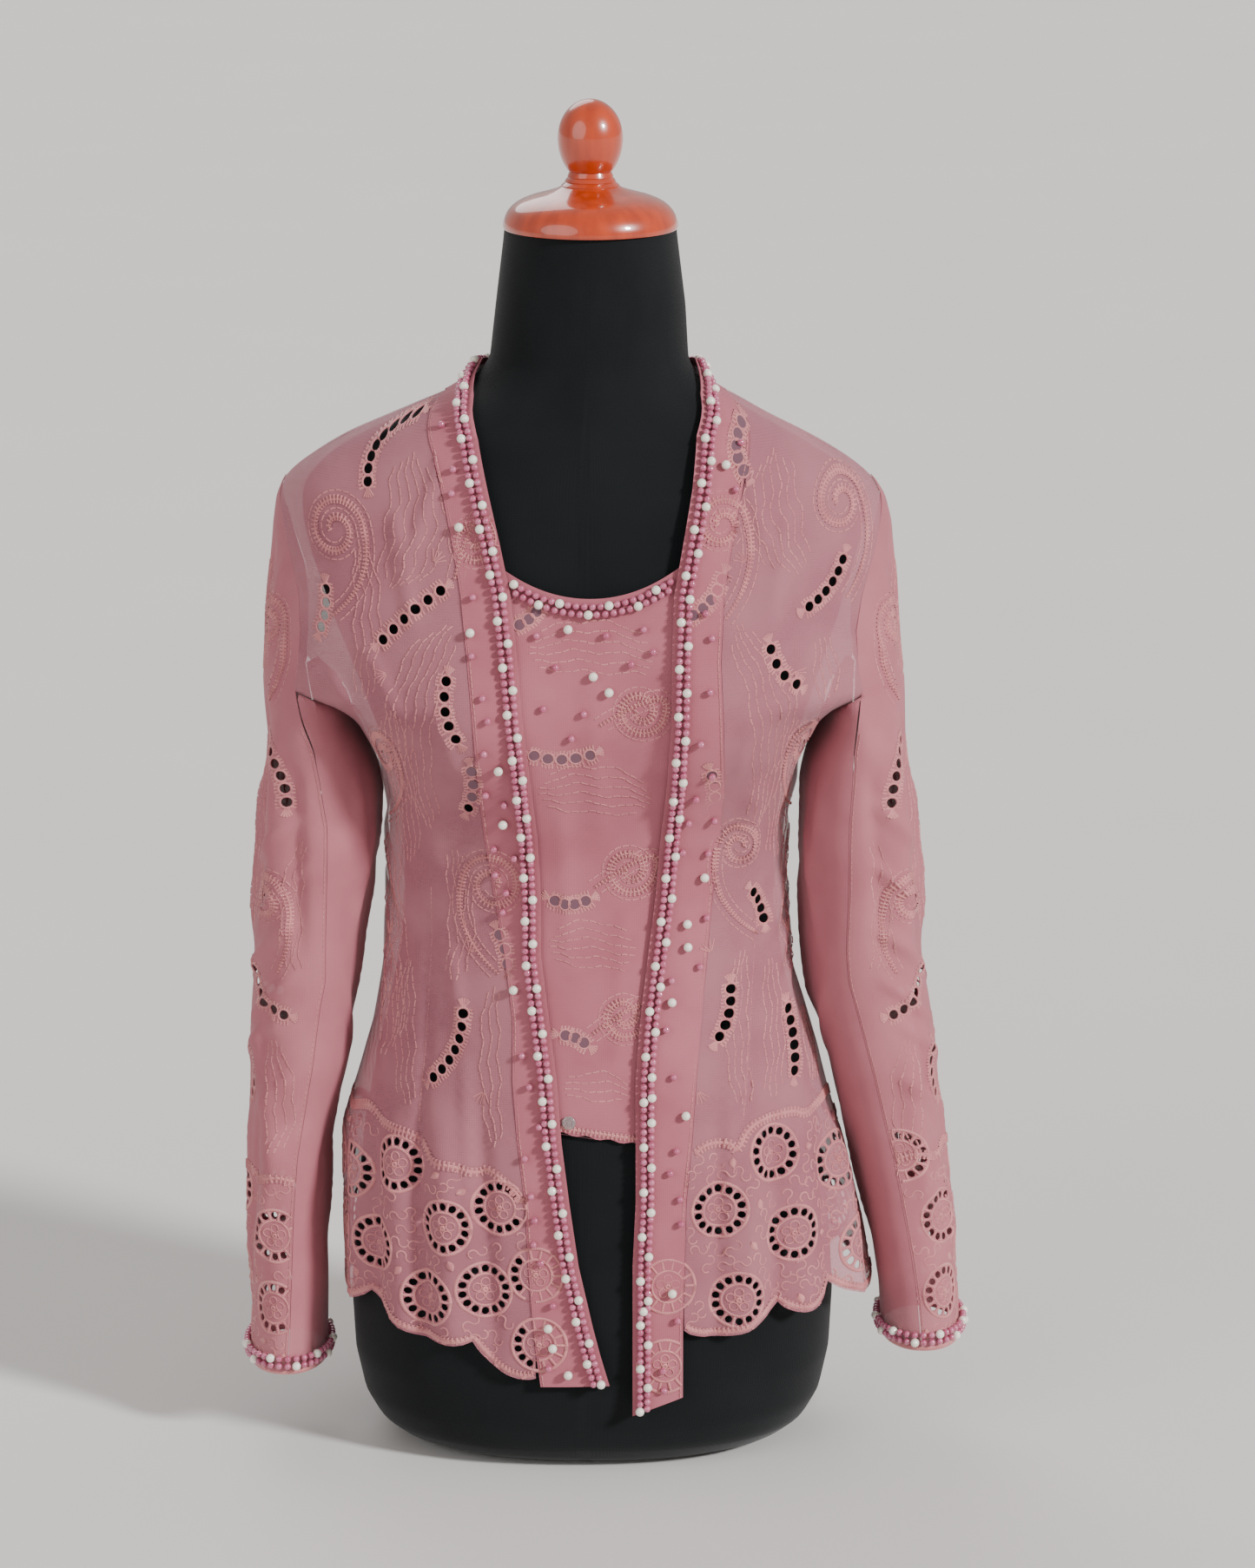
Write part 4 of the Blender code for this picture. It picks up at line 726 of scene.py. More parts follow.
def ring_holes(girth, z):
    """Rounded slots round a border ring."""
    holes = []
    for k in range(RING_EYELETS):
        out = direction(2 * math.pi * (k + 0.5) / RING_EYELETS)
        side = np.array([-out[1], out[0]])
        middle = np.array([girth, z]) + RING_RADIUS * out
        corners = disc(0.0, 0.0, 1.0, 8, math.pi / 8)
        wide, tall = (size / 1.85 for size in RING_EYELET)
        holes.append(np.array([middle + side * a * wide + out * b * tall for a, b in corners]))
    return holes


def eyelets(chains, rings):
    holes = [disc(*middle, EYELET / 2, 10, 0.3) for row in chains for middle, _ in chain_places(row)]
    for girth, z in rings:
        holes += ring_holes(girth, z)
    return holes


def kept_holes(holes, outline):
    """The holes that lie wholly on a panel."""
    corners = np.concatenate(holes)
    clear = inside(corners, outline) & (distance_to(corners, outline) > HOLE_MARGIN)
    ends = np.cumsum([len(hole) for hole in holes])
    return [hole for hole, end in zip(holes, ends) if clear[end - len(hole) : end].all()]


def hem_line(cusps, steps=14):
    """Scallops hanging between the hem's points."""
    points = []
    for start, end in zip(cusps[:-1], cusps[1:]):
        width = end[0] - start[0]
        lobes = max(1, round(abs(width) / SCALLOP_WIDTH))
        for k in range(lobes * steps):
            share = k / (lobes * steps)
            drop = SCALLOP_DEPTH * math.sin(math.pi * (share * lobes % 1.0)) ** 0.7
            points.append((start[0] + share * width, start[1] + share * (end[1] - start[1]) - drop))
    return points + [cusps[-1]]


def behind_girth(which, share, z):
    """Girth at a share of the way from the side line to the centre back, half a seam gap short."""
    side = GIRTH.side(which, z)
    back = GIRTH.centre_back(which, z) - SIGN[which] * SEAM_GAP / 2
    return side + share * (back - side)


def refined(rows, times):
    """Rows of numbers with more rows in each step."""
    rows = np.array(rows, float)
    places = np.linspace(0, len(rows) - 1, (len(rows) - 1) * times + 1)
    return np.stack([np.interp(places, range(len(rows)), column) for column in rows.T], axis=1)


def rounded(line, times):
    """A line with its corners cut back in equal parts, its two ends kept."""
    line = np.array(line, float)
    for _ in range(times):
        near = 0.75 * line[:-1] + 0.25 * line[1:]
        far = 0.25 * line[:-1] + 0.75 * line[1:]
        line = np.concatenate([line[:1], np.stack([near, far], axis=1).reshape(-1, 2), line[-1:]])
    return line


def band_rows(which, times=2):
    """Cross rows of a band from its tip over the shoulder to the centre back."""
    rows = [(a, b, c, d, -1.0) for a, b, c, d in BANDS[which]]
    for share, edge_z, seam_z in BAND_BACK:
        edge_g, seam_g = (float(behind_girth(which, share, z)) for z in (edge_z, seam_z))
        rows.append((edge_g, edge_z, seam_g, seam_z, share))
    rows = refined(rows, times)
    return rows[:, 0:2], rows[:, 2:4], rows[:, 4]


def band_chart(which, distance, times=2):
    """Chart points of a band at a distance in from its free edge; None is the seam itself."""
    edge, seam, shares = band_rows(which, times)
    width = np.linalg.norm(seam - edge, axis=1)[:, None]
    line = edge + (seam - edge) * (1.0 if distance is None else distance / width)
    behind = shares >= 0
    line[behind, 0] = behind_girth(which, shares[behind], line[behind, 1])
    return line


def armhole_line(which, face):
    """Armhole from the underarm to the shoulder tip, as girth from the side line and height."""
    column = 1 if face == "front" else 2
    rows = np.array(ARMHOLES[which], float)
    low = rows[0][column]
    rise = UNDERARM_HIGH - UNDERARM_LOW
    under = [(low * k / 12, UNDERARM_LOW + rise * (k / 12) ** 2) for k in range(12)]
    heights = np.append(np.arange(UNDERARM_HIGH, SHOULDER_TIP - 8, 5.0), [643.0, SHOULDER_TIP])
    return under + [(float(np.interp(z, rows[:, 0], rows[:, column])), float(z)) for z in heights]


def ridge_heights():
    return np.append(np.arange(SHOULDER_TIP + 4.0, NECK_SEAM - 2.0, 4.0), NECK_SEAM - SEAM_GAP)


def side_line(which, heights, sign):
    return [(float(GIRTH.side(which, z)) - sign * SEAM_GAP / 2, float(z)) for z in heights]


def front_outline(which):
    """A front's cut edge, from the foot of the band seam round by hem, side, armhole and shoulder."""
    sign = SIGN[which]
    seam = moved(band_chart(which, None)[: 2 * len(BANDS[which])], -sign * SEAM_GAP)
    hem = hem_line(HEMS[which])
    seam = seam[seam[:, 1] > hem[0][1] + 4.0]
    foot = (float(np.interp(hem[0][1], seam[:, 1], seam[:, 0])), hem[0][1])
    sides = side_line(which, np.linspace(hem[-1][1], UNDERARM_LOW, 60), sign)
    arm = armhole_line(which, "front")[1:]
    arm = [(float(GIRTH.side(which, z)) - sign * (a + SEAM_GAP / 2), z) for a, z in arm]
    ridge = side_line(which, ridge_heights(), sign)
    return resampled(np.array([foot] + hem[1:-1] + sides + arm + ridge + seam[::-1].tolist()), FINE)


def back_outline():
    """The back's cut edge, charted from the centre back."""
    sides = {}
    for which, sign in SIGN.items():
        hem_end = HEMS["back"][-1 if which == "left" else 0][1]
        line = [(0.0, z) for z in np.linspace(hem_end, UNDERARM_LOW, 60)]
        line += armhole_line(which, "back")[1:]
        line += [(0.0, z) for z in ridge_heights()]
        reach = [abs(float(GIRTH.centre_back(which, z)) - float(GIRTH.side(which, z))) for _, z in line]
        sides[which] = [(sign * (r - a - SEAM_GAP / 2), float(z)) for r, (a, z) in zip(reach, line)]
        seam = band_chart(which, None)[2 * len(BANDS[which]) + 1 : -1]
        seam = [(float(GIRTH.centre_back(which, z)) - g, z) for g, z in seam]
        sides[which] += moved(seam, sign * SEAM_GAP).tolist()
    centre = (0.0, BAND_BACK[-1][2] - SEAM_GAP)
    hem = hem_line(HEMS["back"])[1:-1]
    return resampled(np.array(hem + sides["left"] + [centre] + sides["right"][::-1]), FINE)


def band_outline(which):
    edge = band_chart(which, 0.0, 6)
    seam = band_chart(which, None, 6)
    return resampled(np.concatenate([edge, seam[::-1]]), FINE * 0.8)


def insert_top(girth):
    return 589.0 + 15.0 * (girth / 50.0) ** 2


def insert_bottom(girth):
    return 234.0 - 0.15 * girth


def insert_edge(which, z, tuck):
    """Where the insert ends under a band at this height."""
    edge = band_rows(which)[0]
    return float(np.interp(z, edge[:40, 1], edge[:40, 0])) + (tuck if which == "left" else -tuck)


def insert_outline():
    points = []
    for which, start, end in (("right", 236.0, 602.0), ("left", 602.0, 230.0)):
        side = [(insert_edge(which, z, INSERT_TUCK), z) for z in np.linspace(start, end, 70)]
        points += [(g, z) for g, z in side if insert_bottom(g) <= z <= insert_top(g)]
        if which == "right":
            reach = (points[-1][0], insert_edge("left", 600.0, INSERT_TUCK))
            points += [(g, insert_top(g)) for g in np.linspace(*reach, 32)[1:-1]]
    low = (points[-1][0], points[0][0])
    lower = enumerate(np.linspace(*low, 26))
    points += [(g, insert_bottom(g) - 1.6 * math.sin(math.pi * k / 5) ** 2) for k, g in lower][1:-1]
    return resampled(np.array(points), FINE)


def sleeve_outlines(which, tube):
    """Chart outlines of the outer and the under piece."""
    half = SEAM_GAP / 2
    seams = np.array(SLEEVE_SEAMS[which], float)
    cuff = CUFF[which]
    heights = [*np.arange(cuff + 6.0, 470.0, 6.0), *np.arange(474.0, 518.0, 4.0)]

    def front(z):
        return float(np.interp(z, seams[:, 0], seams[:, 1]))

    def rear(z):
        return -float(np.interp(z, seams[:, 0], seams[:, 2]))

    def ease(z):
        return half + 0.9 * float(np.clip((z - 470.0) / 20.0, 0.0, 1.0))

    bottom = [(rear(cuff) + half, cuff), (front(cuff) - half, cuff)]
    cap = [(a - half, z) for a, z in armhole_line(which, "front")[12:-1]] + [(0.0, SHOULDER_TIP - half)]
    cap += [(-a + half, z) for a, z in armhole_line(which, "back")[12:-1][::-1]]
    rise = [(front(z) - half, z) for z in heights]
    fall = [(rear(z) + half, z) for z in heights[::-1]]
    outer = resampled(np.array(bottom + rise + cap + fall), FINE)
    bottom = [(front(cuff) + half, cuff), (tube.whole(cuff) + rear(cuff) - half, cuff)]
    rise = [(tube.whole(z) + rear(z) - ease(z), z) for z in heights]
    fall = [(front(z) + ease(z), z) for z in heights[::-1]]
    under = resampled(np.array(bottom + rise + tube.underarm()[::-1] + fall), FINE)
    return outer, under


def mesh_piece(name, points, faces, material, uv=None):
    """A mesh object from points in millimetres, with chart coordinates as its texture coordinates."""
    mesh = bpy.data.meshes.new(name)
    mesh.from_pydata((np.asarray(points) * MM).tolist(), [], [tuple(face) for face in faces])
    if uv is not None:
        corners = np.empty(len(mesh.loops), np.int32)
        mesh.loops.foreach_get("vertex_index", corners)
        layer = mesh.uv_layers.new(name="chart")
        layer.uv.foreach_set("vector", (np.asarray(uv)[corners] * MM).astype(np.float32).ravel())
    mesh.shade_smooth()
    mesh.materials.append(material)
    obj = bpy.data.objects.new(name, mesh)
    bpy.context.scene.collection.objects.link(obj)
    return obj


def cloth(name, surface, chart, faces, outward, material, outer, thick):
    """A closed thin shell of cloth over chart triangles."""
    points = surface(chart[:, 0], chart[:, 1])
    normal = normals(surface, chart, outward)
    corners = chart[faces]
    first, second = corners[:, 1] - corners[:, 0], corners[:, 2] - corners[:, 0]
    if np.sign(first[:, 0] * second[:, 1] - first[:, 1] * second[:, 0]).sum() * outward < 0:
        faces = faces[:, ::-1]
    count = len(chart)
    ends = np.concatenate([faces[:, [0, 1]], faces[:, [1, 2]], faces[:, [2, 0]]])
    edges = {tuple(end) for end in ends.tolist()}
    rims = [(a, b) for a, b in sorted(edges) if (b, a) not in edges]
    polygons = faces.tolist() + (faces[:, ::-1] + count).tolist()
    polygons += [(b, a, a + count, b + count) for a, b in rims]
    vertices = np.concatenate([points + outer * normal, points + (outer - thick) * normal])
    obj = mesh_piece(name, vertices, polygons, material, np.concatenate([chart, chart]))
    obj.data.set_sharp_from_angle(angle=math.radians(60))
    return obj


def mirrored(rows):
    return [(s * row[0], row[1], s * row[2], row[3], s * row[4], *row[5:]) for row in rows for s in (-1, 1)]


def spiral_rows(key):
    rows = list(SPIRALS.get(key, ()))
    if key == "back":
        rows += [(-g, z, r, 180 - turn, -sense, -end_g, end_z) for g, z, r, turn, sense, end_g, end_z in rows]
    return rows


class Stitches:
    """Raised thread work, gathered on a chart and laid on its cloth as one mesh."""

    SINK = 0.25

    def __init__(self):
        self.chart, self.height, self.uv, self.faces = [], [], [], []
        self.count = 0

    def strip(self, path, width, rise, closed=False, columns=5):
        """A thread-covered cord along a path, rounded across."""
        path = np.array(path, float)
        rows = len(path)
        along = np.roll(path, -1, axis=0) - np.roll(path, 1, axis=0) if closed else np.gradient(path, axis=0)
        along /= np.maximum(np.linalg.norm(along, axis=1), 1e-9)[:, None]
        side = np.stack([-along[:, 1], along[:, 0]], axis=1)
        shares = np.linspace(-1.0, 1.0, columns)
        half = np.broadcast_to(width, rows)[:, None] / 2 * shares[None, :]
        crown = np.sqrt(np.clip(1.0 - shares**2, 0.0, 1.0))
        steps = np.linalg.norm(np.diff(path, axis=0), axis=1)
        run = np.concatenate([[0.0], np.cumsum(steps)])
        self.chart.append((path[:, None] + side[:, None] * half[..., None]).reshape(-1, 2))
        self.height.append(np.tile(-self.SINK + (rise + self.SINK) * crown, rows))
        self.uv.append(np.stack([np.repeat(run, columns), half.ravel()], axis=1))
        for row in range(rows if closed else rows - 1):
            here = self.count + row * columns
            there = self.count + (row + 1) % rows * columns
            self.faces += [(here + k, there + k, there + k + 1, here + k + 1) for k in range(columns - 1)]
        self.count += rows * columns

    def bars(self, path, width, pitch, bar, rise):
        """Short satin bars laid side by side across a path."""
        path = np.array(path, float)
        run = np.concatenate([[0.0], np.cumsum(np.linalg.norm(np.diff(path, axis=0), axis=1))])
        places = np.arange(pitch / 2, run[-1], pitch)
        middles, along = (
            np.stack([np.interp(places, run, column) for column in table.T], axis=1)
            for table in (path, np.gradient(path, axis=0))
        )
        along /= np.linalg.norm(along, axis=1)[:, None]
        reach = np.interp(places, run, np.broadcast_to(width, len(path)))
        sides = np.stack([-along[:, 1], along[:, 0]], axis=1) * reach[:, None] / 2
        for middle, side in zip(middles, sides):
            self.strip([middle - side, middle, middle + side], bar, rise, columns=3)

    def rays(self, place, turn, spreads, near, far, width, rise):
        """Straight rays of thread that leave one point at angles either side of a direction."""
        for spread in spreads:
            out = direction(turn + spread)
            self.strip(place + np.linspace(near, far, 3)[:, None] * out, width, rise, columns=3)

    def fan(self, place, out):
        """Satin rays that flare from the end of a chain."""
        self.rays(place, math.atan2(out[1], out[0]), np.linspace(-0.55, 0.55, 5), 0.0, 6.5, 1.7, 0.5)

    def ring(self, middle, radius, width, rise, sides):
        self.strip(disc(*middle, radius, sides), width, rise, closed=True)

    def running(self, path, stitch, gap, width=1.1):
        """Running stitches along a path."""
        path = np.array(path, float)
        run = np.concatenate([[0.0], np.cumsum(np.linalg.norm(np.diff(path, axis=0), axis=1))])
        start = 0.0
        while start < run[-1] - stitch / 2:
            places = np.linspace(start, min(start + stitch, run[-1]), 3)
            points = np.stack([np.interp(places, run, column) for column in path.T], axis=1)
            self.strip(points, width, 0.45, columns=3)
            start += stitch + gap

    def chain(self, row):
        """Eyelets in a satin leaf: a rim round each, crossed threads between and fringed edges."""
        places = chain_places(row)
        for index, (middle, run) in enumerate(places):
            side = np.array([-run[1], run[0]])
            self.ring(middle, EYELET / 2 + 0.75, 1.7, 0.5, 14)
            for sign in (-1, 1):
                for step in (-3.3, -1.1, 1.1, 3.3):
                    root = middle + run * step + sign * side * (EYELET / 2 + 0.4 - 0.2 * abs(step))
                    self.strip([root, root + sign * side * 3.2 + run * 0.6], 1.7, 0.5, columns=3)
            if index + 1 < len(places):
                after = places[index + 1][0]
                for sign in (-1, 1):
                    ends = (middle + run * 3.6 + sign * side * 2.4, after - run * 3.6 - sign * side * 2.4)
                    self.strip(np.linspace(*ends, 3), 1.3, 0.5, columns=3)
        first, last = places[0], places[-1]
        self.fan(first[0] - first[1] * 3.5, -first[1])
        self.fan(last[0] + last[1] * 3.5, last[1])

    def spiral(self, girth, z, radius, start, sense, end_g, end_z):
        """A curl worked in short satin bars that ends in a tapering tail, outlined in running stitch."""
        turns = np.linspace(0.0, 1.0, 34)
        angle = math.radians(start) + sense * turns * 3.1 * math.pi
        reach = radius * (0.14 + 0.86 * turns**0.8)
        curl = np.stack([girth + reach * np.cos(angle), z + reach * np.sin(angle)], axis=1)
        drift = (curl[-1] - curl[-2]) / np.linalg.norm(curl[-1] - curl[-2])
        end = np.array([end_g, end_z], float)
        shares = np.linspace(0.0, 1.0, 14)[1:, None]
        pull = curl[-1] + drift * np.linalg.norm(end - curl[-1]) * 0.55
        tail = (1 - shares) ** 2 * curl[-1] + 2 * shares * (1 - shares) * pull + shares**2 * end
        path = np.concatenate([curl, tail])
        width = np.interp(np.arange(len(path)), (0, 6, 33, len(path) - 1), (3.0, 5.2, 5.6, 2.2))
        self.strip(path, 0.3 * width, 0.5)
        self.bars(path, width, 2.5, 1.6, 1.0)
        for offset in (-5.4, 5.4):
            self.running(moved(path[14:], offset), 4.2, 1.1)

    def waves(self, start_g, start_z, end_g, end_z, bow, lines, spacing, height, length):
        """Parallel wavy lines of running stitch that drift apart in their middle."""
        start = np.array([start_g, start_z], float)
        along = np.array([end_g, end_z], float) - start
        reach = float(np.linalg.norm(along))
        side = np.array([-along[1], along[0]]) / reach
        shares = np.linspace(0.0, 1.0, max(8, int(reach / 2.2)))
        for line in range(lines):
            place = line - (lines - 1) / 2
            ends = 0.04 * abs(place)
            cut = np.clip(shares, ends, 1.0 - ends)
            spread = spacing * place * (0.62 + 0.38 * np.sin(math.pi * cut))
            swing = height * np.sin(2 * math.pi * cut * reach / length + 0.8 * line)
            swing += 0.4 * np.sin(2 * math.pi * cut * reach / 11.0 + 2.1 * line)
            offset = 4 * bow * cut * (1 - cut) + spread + swing
            self.running(start + cut[:, None] * along + offset[:, None] * side, 4.6, 0.8)

    def feather(self, girth, z, turn):
        """A spray of five fine rays."""
        self.rays(np.array([girth, z]), turn, (-0.7, -0.35, 0.0, 0.35, 0.7), 1.0, 9.0, 0.9, 0.45)

    def flower_ring(self, girth, z):
        """A border ring: satin inside and outside its slots, bars between them and a small flower."""
        middle = np.array([girth, z], float)
        self.ring(middle, RING_RADIUS - 3.6, 1.8, 0.5, 28)
        self.ring(middle, RING_RADIUS + 3.8, 2.4, 0.6, 32)
        for k in range(RING_EYELETS):
            out = direction(2 * math.pi * k / RING_EYELETS)
            self.strip(middle + np.linspace(RING_RADIUS - 3.0, RING_RADIUS + 3.0, 3)[:, None] * out, 1.9, 0.5)
        for k in range(5):
            petal = middle + 5.2 * direction(2 * math.pi * k / 5 + 0.3)
            self.ring(petal, 2.8, 1.0, 0.4, 9)
        self.ring(middle, 1.2, 2.2, 0.7, 8)

    def scroll(self, girth, z, turn, size):
        """A small double curl of running stitch."""
        angle = 1.35 * math.pi * np.linspace(0.0, 1.0, 9)
        hook = size * np.stack([np.cos(angle), np.sin(angle)], axis=1)
        hook -= hook[0]
        path = np.concatenate([-hook[::-1], hook[1:]])
        across = direction(turn)
        path = path[:, :1] * across + path[:, 1:] * np.array([-across[1], across[0]])
        self.strip(path + np.array([girth, z]), 1.2, 0.4, columns=3)

    def diamond(self, girth, z, turn):
        """A small satin leaf, pointed at both ends."""
        shares = np.linspace(0.0, 1.0, 7)
        out = direction(turn) * 3.6
        start, end = np.array([girth, z]) - out, np.array([girth, z]) + out
        self.strip(start + shares[:, None] * (end - start), 0.3 + 4.8 * np.sin(math.pi * shares) ** 0.8, 0.8)

    def border(self, key):
        """Scrolls and diamonds that fill the border between its rings, on a jittered lattice."""
        seed, low, start, end = BORDERS[key]
        chance = np.random.default_rng(seed)
        rings = np.array(RINGS[key], float)
        top = BORDER_TOPS[key]
        row = 0
        z = low - 14.0
        while z < max(p[1] for p in top):
            for girth in np.arange(start + (5.6 if row % 2 else 0.0), end, 11.2):
                place = np.array([girth, z]) + chance.uniform(-1.4, 1.4, 2)
                turn = chance.uniform(0.0, 2 * math.pi)
                upper = float(np.interp(place[0], [p[0] for p in top], [p[1] for p in top]))
                if place[1] > upper - 7.0 or np.linalg.norm(rings - place, axis=1).min() < 23.5:
                    continue
                if (row * 3 + int(girth)) % 7 == 0:
                    self.diamond(*place, turn)
                else:
                    self.scroll(*place, turn, 2.9)
            z += 9.6
            row += 1
        line = rounded(top, 2)
        self.strip(line, 2.6, 0.5)
        self.bars(line, 6.2, 2.9, 1.8, 1.0)

    def edging(self, line, inset, width=6.0):
        """The ribbed satin that covers a cut edge."""
        path = refined(moved(line, inset), 2)
        self.strip(path, 0.6 * width, 0.6)
        self.bars(path, width, 2.8, 1.8, 1.1)

    def sew(self, key, rings=()):
        """Works a panel's chains, curls, waves and border rings."""
        mirror = mirrored if key == "back" else list
        for row in mirror(CHAINS.get(key, ())):
            self.chain(row)
        for row in mirror(BLIND_CHAINS.get(key, ())):
            self.chain(row)
        for row in spiral_rows(key):
            self.spiral(*row)
        for row in mirror(WAVES.get(key, ())):
            self.waves(*row)
        for girth, z in rings:
            self.flower_ring(girth, z)

    def trim(self, outlines, through=()):
        """Drops the stitches that fall outside the cloth or across an open eyelet, and gives what is left."""
        chart = np.concatenate(self.chart)
        on = np.zeros(len(chart), bool)
        for outline in outlines:
            on |= inside(chart, outline)
        for middle in through:
            on &= np.linalg.norm(chart - middle, axis=1) > EYELET / 2 - 0.4
        faces = np.array(self.faces)
        used, faces = np.unique(faces[on[faces].all(axis=1)], return_inverse=True)
        self.faces = faces.reshape(-1, 4)
        self.chart = [chart[used]]
        self.height = [np.concatenate(self.height)[used]]
        self.uv = [np.concatenate(self.uv)[used]]
        return chart[used]

    def build(self, name, surface, outward, material, lift=0.0):
        """One mesh of all the stitches, laid on a worn surface."""
        chart = np.concatenate(self.chart)
        height = np.concatenate(self.height)
        points = surface(chart[:, 0], chart[:, 1])
        points = points + (height + lift)[:, None] * normals(surface, chart, outward)
        faces = np.array(self.faces)
        faces = faces if outward > 0 else faces[:, ::-1]
        return mesh_piece(name, points, faces, material, np.concatenate(self.uv))


def eyelet_middles(key, outline):
    """Middles of the eyelets that are open, and of those that have cloth behind them."""
    rows = mirrored(CHAINS[key]) if key == "back" else CHAINS.get(key, ())
    middles = [middle for row in rows for middle, _ in chain_places(row)]
    through, closed = [], []
    for middle in middles:
        whole = kept_holes([disc(*middle, EYELET / 2, 12)], outline)
        (through if whole else closed).append(middle)
    closed += [middle for row in BLIND_CHAINS.get(key, ()) for middle, _ in chain_places(row)]
    return through, closed


def dimples(name, middles, surface, lift, material):
    """The lining seen in the eyelets that aren't open right through, darkened with painted shade of the hole.
    """
    discs = [disc(*middle, EYELET / 2 + 0.2, 14) for middle in middles]
    chart = np.concatenate(discs)
    points = surface(chart[:, 0], chart[:, 1]) + lift * normals(surface, chart, 1.0)
    faces = [tuple(range(k * 14, k * 14 + 14)) for k in range(len(discs))]
    keep(mesh_piece(name, points, faces, material), None, "doubled_voile")


def ball():
    """A ball of radius one: rings of points between its poles, and the faces between them."""
    tilt = math.pi * np.arange(1, BALL_RINGS)[:, None] / BALL_RINGS
    turn = 2 * math.pi * np.arange(BALL_SIDES)[None, :] / BALL_SIDES
    level = np.broadcast_to(np.cos(tilt), (BALL_RINGS - 1, BALL_SIDES))
    rings = np.stack([np.sin(tilt) * np.cos(turn), np.sin(tilt) * np.sin(turn), level], axis=-1)
    points = np.concatenate([[[0.0, 0.0, 1.0]], rings.reshape(-1, 3), [[0.0, 0.0, -1.0]]])
    foot = len(points) - 1
    lowest = foot - BALL_SIDES
    faces = []
    for k in range(BALL_SIDES):
        after = (k + 1) % BALL_SIDES
        faces += [(0, 1 + k, 1 + after), (foot, lowest + after, lowest + k)]
        for start in range(1, lowest, BALL_SIDES):
            faces.append((start + k, start + BALL_SIDES + k, start + BALL_SIDES + after, start + after))
    return points, faces


def beads(name, places, radius, material):
    """Round beads, one at each place, as one mesh."""
    corners, sides = ball()
    places = np.array(places)
    points = (places[:, None] + corners * radius).reshape(-1, 3)
    faces = [[at + k * len(corners) for at in side] for k in range(len(places)) for side in sides]
    return mesh_piece(name, points, faces, material)


def spaced_on(surface, line, pitch):
    """Chart points along a line, a fixed distance apart on the worn surface."""
    line = refined(line, 6)
    points = surface(line[:, 0], line[:, 1])
    run = np.concatenate([[0.0], np.cumsum(np.linalg.norm(np.diff(points, axis=0), axis=1))])
    places = np.linspace(0.0, run[-1], max(2, int(run[-1] / pitch)))[:-1] + pitch / 2
    return np.stack([np.interp(places, run, column) for column in line.T], axis=1)


def pearl_rows(place, surface, outward, lines, base, loose=()):
    """A double row of pearls along an edge, with larger white ones in turn, and loose pearls beside it."""
    groups = []
    for line, first_white in zip(lines, (0, WHITE_EVERY // 2)):
        chart = spaced_on(surface, line, PEARL_PITCH)
        groups.append((chart, np.arange(len(chart)) % WHITE_EVERY == first_white))
    if len(loose):
        groups.append((np.array(loose, float), np.arange(len(loose)) % 4 == 1))
    small, large = [], []
    for chart, white in groups:
        normal = normals(surface, chart, outward)
        points = surface(chart[:, 0], chart[:, 1])
        small.append((points + normal * (base + PEARL / 2))[~white])
        large.append((points + normal * (base + WHITE_PEARL / 2))[white])
    name = "pearls_" + place
    pink = beads(name + "_pink", np.concatenate(small), PEARL / 2, looks()["pink_pearl"])
    white = beads(name + "_white", np.concatenate(large), WHITE_PEARL / 2, looks()["white_pearl"])
    keep(pink, "pearl_trim_" + place, "pearl")
    keep(white, None, "pearl")


def off_lines(place, lines, apart):
    """Whether a place lies clear of these lines."""
    return min(float(np.linalg.norm(line - place, axis=1).min()) for line in lines) > apart


def scattered(seed, outline, keep_off, count, apart):
    """Seeded places inside an outline, well apart and clear of its edge."""
    chance = np.random.default_rng(seed)
    places = chance.uniform(outline.min(axis=0), outline.max(axis=0), (3000, 2))
    places = places[inside(places, outline)]
    places = places[distance_to(places, outline) > keep_off]
    found = []
    for place in places:
        if len(found) < count and all(np.hypot(*(place - other)) > apart for other in found):
            found.append(place)
    return found


def turned(name, profile, material):
    """A turned piece: its outer side from top to bottom, swept round the form's axis."""
    points = [(0.0, profile[0][1]), *profile, (0.0, profile[-1][1])]
    edges = [(k, k + 1) for k in range(len(points) - 1)]
    mesh = bpy.data.meshes.new(name)
    mesh.from_pydata([(r * MM, 0.0, z * MM) for r, z in points], edges, [])
    mesh.materials.append(material)
    obj = bpy.data.objects.new(name, mesh)
    bpy.context.scene.collection.objects.link(obj)
    screw = obj.modifiers.new("Screw", "SCREW")
    screw.steps = TURNED_SIDES
    screw.render_steps = TURNED_SIDES
    screw.use_merge_vertices = True
    screw.merge_threshold = 0.00001
    bpy.context.view_layer.update()
    swept = bpy.data.meshes.new_from_object(obj.evaluated_get(bpy.context.evaluated_depsgraph_get()))
    obj.modifiers.clear()
    obj.data = swept
    swept.shade_smooth()
    swept.set_sharp_from_angle(angle=math.radians(50))
    return obj


def add(tree, kind, settings=None, links=None):
    """Adds a node: settings name its properties and sockets, links name what feeds its sockets."""
    node = tree.nodes.new(kind)
    for name, value in (settings or {}).items():
        if isinstance(name, int) or name in node.inputs:
            node.inputs[name].default_value = value
        else:
            setattr(node, name, value)
    for name, socket in (links or {}).items():
        tree.links.new(socket, node.inputs[name])
    return node


def finish(name, settings):
    """A material whose Principled shader starts from these settings."""
    material = bpy.data.materials.new(name)
    material.use_nodes = True
    shader = material.node_tree.nodes["Principled BSDF"]
    for socket, value in settings.items():
        shader.inputs[socket].default_value = value
    return material, material.node_tree, shader


